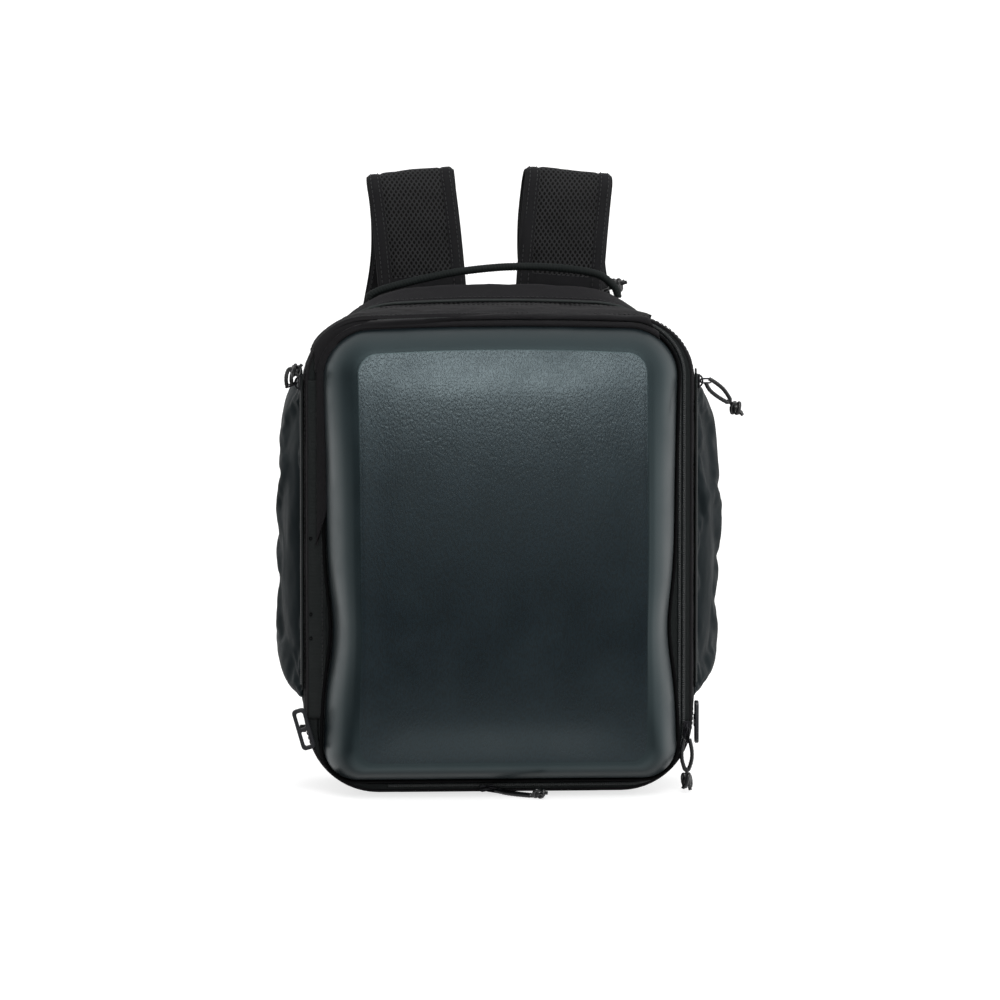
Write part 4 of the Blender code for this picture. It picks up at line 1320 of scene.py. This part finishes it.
def shoulder_strap(label, side):
    spine = strap_frames(side)
    places = [math.sin(math.pi / 2 * t) for t in np.linspace(-1, 1, 37)]
    rows = []
    for point, half_w, across, depth in spine:
        back = [point + across * (half_w * s) + depth * strap_half(abs(s)) for s in places]
        front = [point + across * (half_w * s) - depth * strap_half(abs(s)) for s in reversed(places)]
        rows.append(back + front)
    share = np.abs(np.array(places + places[::-1]))
    mid_share = (share + np.roll(share, -1)) / 2
    sewn = next(k for k, s in enumerate(spine) if s[0].z > STRAP_SEAM_Z)

    def bands(i, j):
        return (mid_share[j] > STRAP_GROOVE) | (i < sewn) | (i > len(rows) - 10)
    strap = weld(grid(f"{label}_strap_pad", rows, ["mesh", "border"], closed=True, capped=True, bands=bands))
    ruffle(strap, 0.7, 30, 8 + side)
    fitted(strap, f"{label}_strap", f"{label}_shoulder_strap")

    for part, sign in (("inner", -1), ("outer", 1)):
        edge = [p + a * (w * sign) for p, w, a, _ in spine]
        trim = tube(f"{label}_strap_{part}_trim", spaced(edge, 2.0), 1.25, "border", 10, (0.1, 1, 0.3))
        fitted(trim, f"{label}_strap")
    lines = []
    for face in (-1, 1):
        out = np.array([tuple(d * face) for *_, d in spine])
        for sign in (-1, 1):
            for s in (STRAP_GROOVE + 0.05, 0.93):
                rise = face * (strap_half(s) + 0.15)
                path = spaced([p + a * (w * sign * s) + d * rise for p, w, a, d in spine], STITCH_PITCH)
                picks = np.linspace(0, len(out) - 1, len(path))
                lines.append((path, np.stack([np.interp(picks, range(len(out)), out[:, k]) for k in range(3)], 1)))
        p, w, a, d = spine[sewn]
        seam = [p + a * (w * s) + d * face * (strap_half(abs(s)) + 0.1) for s in np.linspace(-0.6, 0.6, 12)]
        lines.append((spaced(seam, STITCH_PITCH), tuple(d * face)))
    stitches(f"{label}_strap_stitches", lines, f"{label}_strap")
    strap_end(label, side)


def strap_end(label, side):
    """The ladder-lock at the strap's end and the webbing from it down to the tab."""
    path = [mirrored(p[:3], side) for p in STRAP_ROUTE]
    along = (path[-1] - path[-2]).normalized()
    across = Vector((math.cos(math.radians(END_TILT)), 0, side * math.sin(math.radians(END_TILT))))
    loops = [rounded_rect(34, 22, 4)] + [rounded_rect(27, 4.5, 1.5, 3, 0, y) for y in (4.8, -4.8)]
    place = axes_matrix(path[-1] + along * 12.4, across, along)
    buckle = extruded(f"{label}_ladder_lock", loops, 4.0, place, "plastic", 0.8)
    fitted(buckle, f"{label}_strap", f"{label}_strap_buckle")

    web = smooth_path([mirrored(p, side) for p in WEB_ROUTE], 14)
    rows = []
    for k, point in enumerate(web):
        across, depth = band_axes(web, k, math.radians(END_TILT * side * (1 - k / (len(web) - 1))))
        rows.append([point + across * a + depth * b for a, b in rounded_rect(WEB_W, WEB_T, 0.7, 3)])
    band = weld(grid(f"{label}_web", rows, "webbing", closed=True, capped=True))
    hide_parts(f"{label}_strap_webbing")
    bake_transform(band)


harness_panel()
for strap_label, strap_side in SIDES:
    shoulder_strap(strap_label, strap_side)


# -------- grab handle, corner buckles, base

def rope_ribs(length, angle):
    return 1.0 + 0.055 * math.cos(2 * angle + 2 * math.pi * length / 2.4)


ANCHOR_LEAN = math.radians(24)   # slope of the body's shoulder outwards, where the handle is sewn on
ANCHOR_FALL = math.radians(30)   # its slope towards the back


def grab_handle():
    arch = ((-100, 32, 391.6), (-99.2, 32, 394.6), (-89, 32, 399.4), (-64, 32, 406.0), (-34, 32, 412.3),
            (-5, 32, 416.0), (22, 32, 417.3), (55, 32, 415.8), (84, 32, 411.0), (97, 32, 402.0),
            (100.6, 32, 395.6), (101, 32, 391.6))
    path = spaced(smooth_path(arch, 6), 0.5)
    rope = tube("handle_rope", path, ROPE_R - 0.1, "rope", 20, (0, 1, 0), False, rope_ribs)
    fitted(rope, "handle", "grab_handle")
    for label, x in (("left", -100), ("right", 101)):
        side = math.copysign(1.0, x)
        run = Vector((math.cos(ANCHOR_LEAN), 0, -side * math.sin(ANCHOR_LEAN)))
        fall = Vector((0, math.cos(ANCHOR_FALL), -math.sin(ANCHOR_FALL)))
        place = axes_matrix((x, 32, 386.9), run, fall)
        patch = extruded(f"{label}_anchor", [rounded_rect(18, 9, 1.5)], 2.0, place, "webbing", 0.5)
        fitted(patch, "pack_body", f"{label}_handle_anchor")
        up = place.to_3x3() @ Vector((0, 0, 1))
        up = up if up.z > 0 else -up
        edge = [place @ (Vector((a, b, 0)) * MM) / MM + up * 1.1 for a, b in rounded_rect(15, 6.4, 0.8, 2)]
        stitches(f"{label}_anchor_stitches", [(edge + edge[:1], tuple(up))], "pack_body", 1.7, 0.8, 0.26)


def corner_buckles():
    loops = [rounded_rect(11.5, 34, 3.5)] + [rounded_rect(5.2, 12, 1.5, 4, 0, y) for y in (7.6, -7.6)]
    lean = math.radians(16)
    facing_front = axes_matrix(
        (-157.6, -60.7, 53.8), (math.cos(lean), 0, math.sin(lean)), (-math.sin(lean), 0, math.cos(lean))
    )
    facing_side = axes_matrix((158.9, -50.4, 56), (0, 1, 0), (0, 0, 1))
    for label, place in (("left", facing_front), ("right", facing_side)):
        buckle = extruded(f"{label}_buckle_ring", loops, 3.0, place, "plastic", 0.7)
        fitted(buckle, f"{label}_buckle", f"{label}_corner_buckle")
        low, high = box_mm(f"{label}_corner_tab")
        tab = bar(f"{label}_buckle_tab", low, high, 0.8, 0.2, "webbing", 2)
        fitted(tab, "pack_body", f"{label}_corner_tab")


def base():
    low, high = box_mm("base_panel")
    rows = []
    length, depth, middle = high.x - low.x, high.y - low.y, (low.y + high.y) / 2
    for d, rise in ((30, 0), (8, 0), (1.2, 0), (0.3, 0.5), (0, 1.2), (0, high.z - low.z), (30, high.z - low.z)):
        shape = rounded_rect(length - 2 * d, depth - 2 * d, max(1.0, 8 - d), 5, 0, middle)
        rows.append([Vector((a, b, low.z + rise)) for a, b in shape])
    sole = planar_uv(weld(grid("base_sole", rows, "rubber", closed=True, capped=True)), 0, 1)
    fitted(sole, "pack_body", "base_panel")


grab_handle()
corner_buckles()
base()


# -------- the door's cloth hinge

def door_hinge():
    """The strip of tape where the door turns, with its seam and three small holes."""
    left, right, axis_x, bend = -153.4, -139.5, -148.5, 3.0
    rows = []
    for z in np.linspace(62, 334, 90):
        row = []
        for t in np.linspace(0, 1, 25):
            row.append(Vector((left + (right - left) * t, TAPE_FRONT - 0.7 - 0.5 * math.sin(math.pi * t), z)))
        rows.append(row)
    strip = thicken(facing(grid("hinge_cloth", rows, "strip"), 1, -1), 0.7)
    start, end = (((axis_x + d) * MM, -0.06, 0.2) for d in (-bend, bend))
    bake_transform(strip)
    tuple(start)
    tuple(end)
    seam = [(-142.4, TAPE_FRONT - 1.1, z) for z in (66, 330)]
    stitches("hinge_seam", [(seam, (0, -1, 0))], "front_door", 3.0, 0.6, 0.35)
    turns = [2 * math.pi * s / 16 for s in range(16)]
    # the three holes are drawn as rings of the near-black shadow_gap material: painted shade
    for k, z in enumerate((207.0, 146.0, 126.7)):
        ring = [Vector((-151.6 + 1.1 * math.cos(a), TAPE_FRONT - 1.35, z + 1.1 * math.sin(a))) for a in turns]
        piping(f"hinge_hole_{k}", ring, 0.5, 0.4, "gap", "pack_body", sides=8)


door_hinge()


# -------- stage, lights and view settings

SOFTBOXES = (
    # azimuth from the front towards the right, elevation, strength, sharpness, most it reaches
    (3, 42, 17.0, 60.0, 8.5),     # key light above the camera, small, with soft edges
    (0, 85, 1.0, 5.0, 9.0),       # overhead, weaker
    (0, 9, 0.70, 18.0, 9.0),      # weak, level with the bag
    (97, 6, 1.7, 2.5, 9.0),       # right
    (-128, 8, 1.25, 2.5, 9.0),    # left, a little behind
    (0, -66, 4.6, 14.0, 1.1),     # light thrown up by the table
)
AMBIENT = 0.02


def studio_world(scene):
    """Soft light from all round with a few brighter boxes; the camera sees plain white."""
    world = bpy.data.worlds.new("studio")
    scene.world = world
    world.use_nodes = True
    tree = world.node_tree
    way = add(tree, "ShaderNodeTexCoord").outputs["Generated"]
    light = AMBIENT
    for azimuth, elevation, strength, sharpness, most in SOFTBOXES:
        a, e = math.radians(azimuth), math.radians(elevation)
        aim = (math.sin(a) * math.cos(e), -math.cos(a) * math.cos(e), math.sin(e))
        along = add(tree, "ShaderNodeVectorMath", [(0, way), (1, aim)], operation="DOT_PRODUCT").outputs[1]
        fall = calc(tree, "EXPONENT", calc(tree, "MULTIPLY_ADD", along, sharpness, -sharpness))
        light = calc(tree, "ADD", calc(tree, "MINIMUM", calc(tree, "MULTIPLY", fall, strength), most), light)
    seen = add(tree, "ShaderNodeLightPath").outputs["Is Camera Ray"]
    strength = add(tree, "ShaderNodeMix", [(0, seen), (2, light), (3, 1.05)]).outputs[0]
    background = tree.nodes["Background"]
    background.inputs[0].default_value = (1, 1, 1, 1)
    tree.links.new(strength, background.inputs[1])


def black_card():
    """A black card just under the paper, which keeps the light from below off the bag's underside."""
    bm = bmesh.new()
    corners = ((-150, -61), (150, -61), (150, 60), (-150, 60))
    bm.faces.new([bm.verts.new(Vector((x, y, -1)) * MM) for x, y in corners])
    card = link("black_card", baked("black_card", bm), "gap")
    card.visible_camera = False


def stage_floor():
    """White paper that takes a soft contact shadow but throws nothing back on to the bag."""
    bm = bmesh.new()
    bmesh.ops.create_grid(bm, x_segments=1, y_segments=1, size=40.0)
    paper = bpy.data.materials.new("floor_paper")
    paper.use_nodes = True
    shader = paper.node_tree.nodes["Principled BSDF"]
    for socket, value in (
        ("Base Color", (0.45, 0.45, 0.45, 1)), ("Roughness", 1.0), ("Specular IOR Level", 0.0),
        ("Emission Color", (1, 1, 1, 1)), ("Emission Strength", 0.72),
    ):
        shader.inputs[socket].default_value = value
    floor = link("floor", baked("floor", bm), paper)
    floor.visible_glossy = floor.visible_diffuse = floor.visible_shadow = False


scene = bpy.context.scene
scene.view_settings.view_transform = "Standard"
scene.view_settings.look = "None"
studio_world(scene)
stage_floor()
black_card()
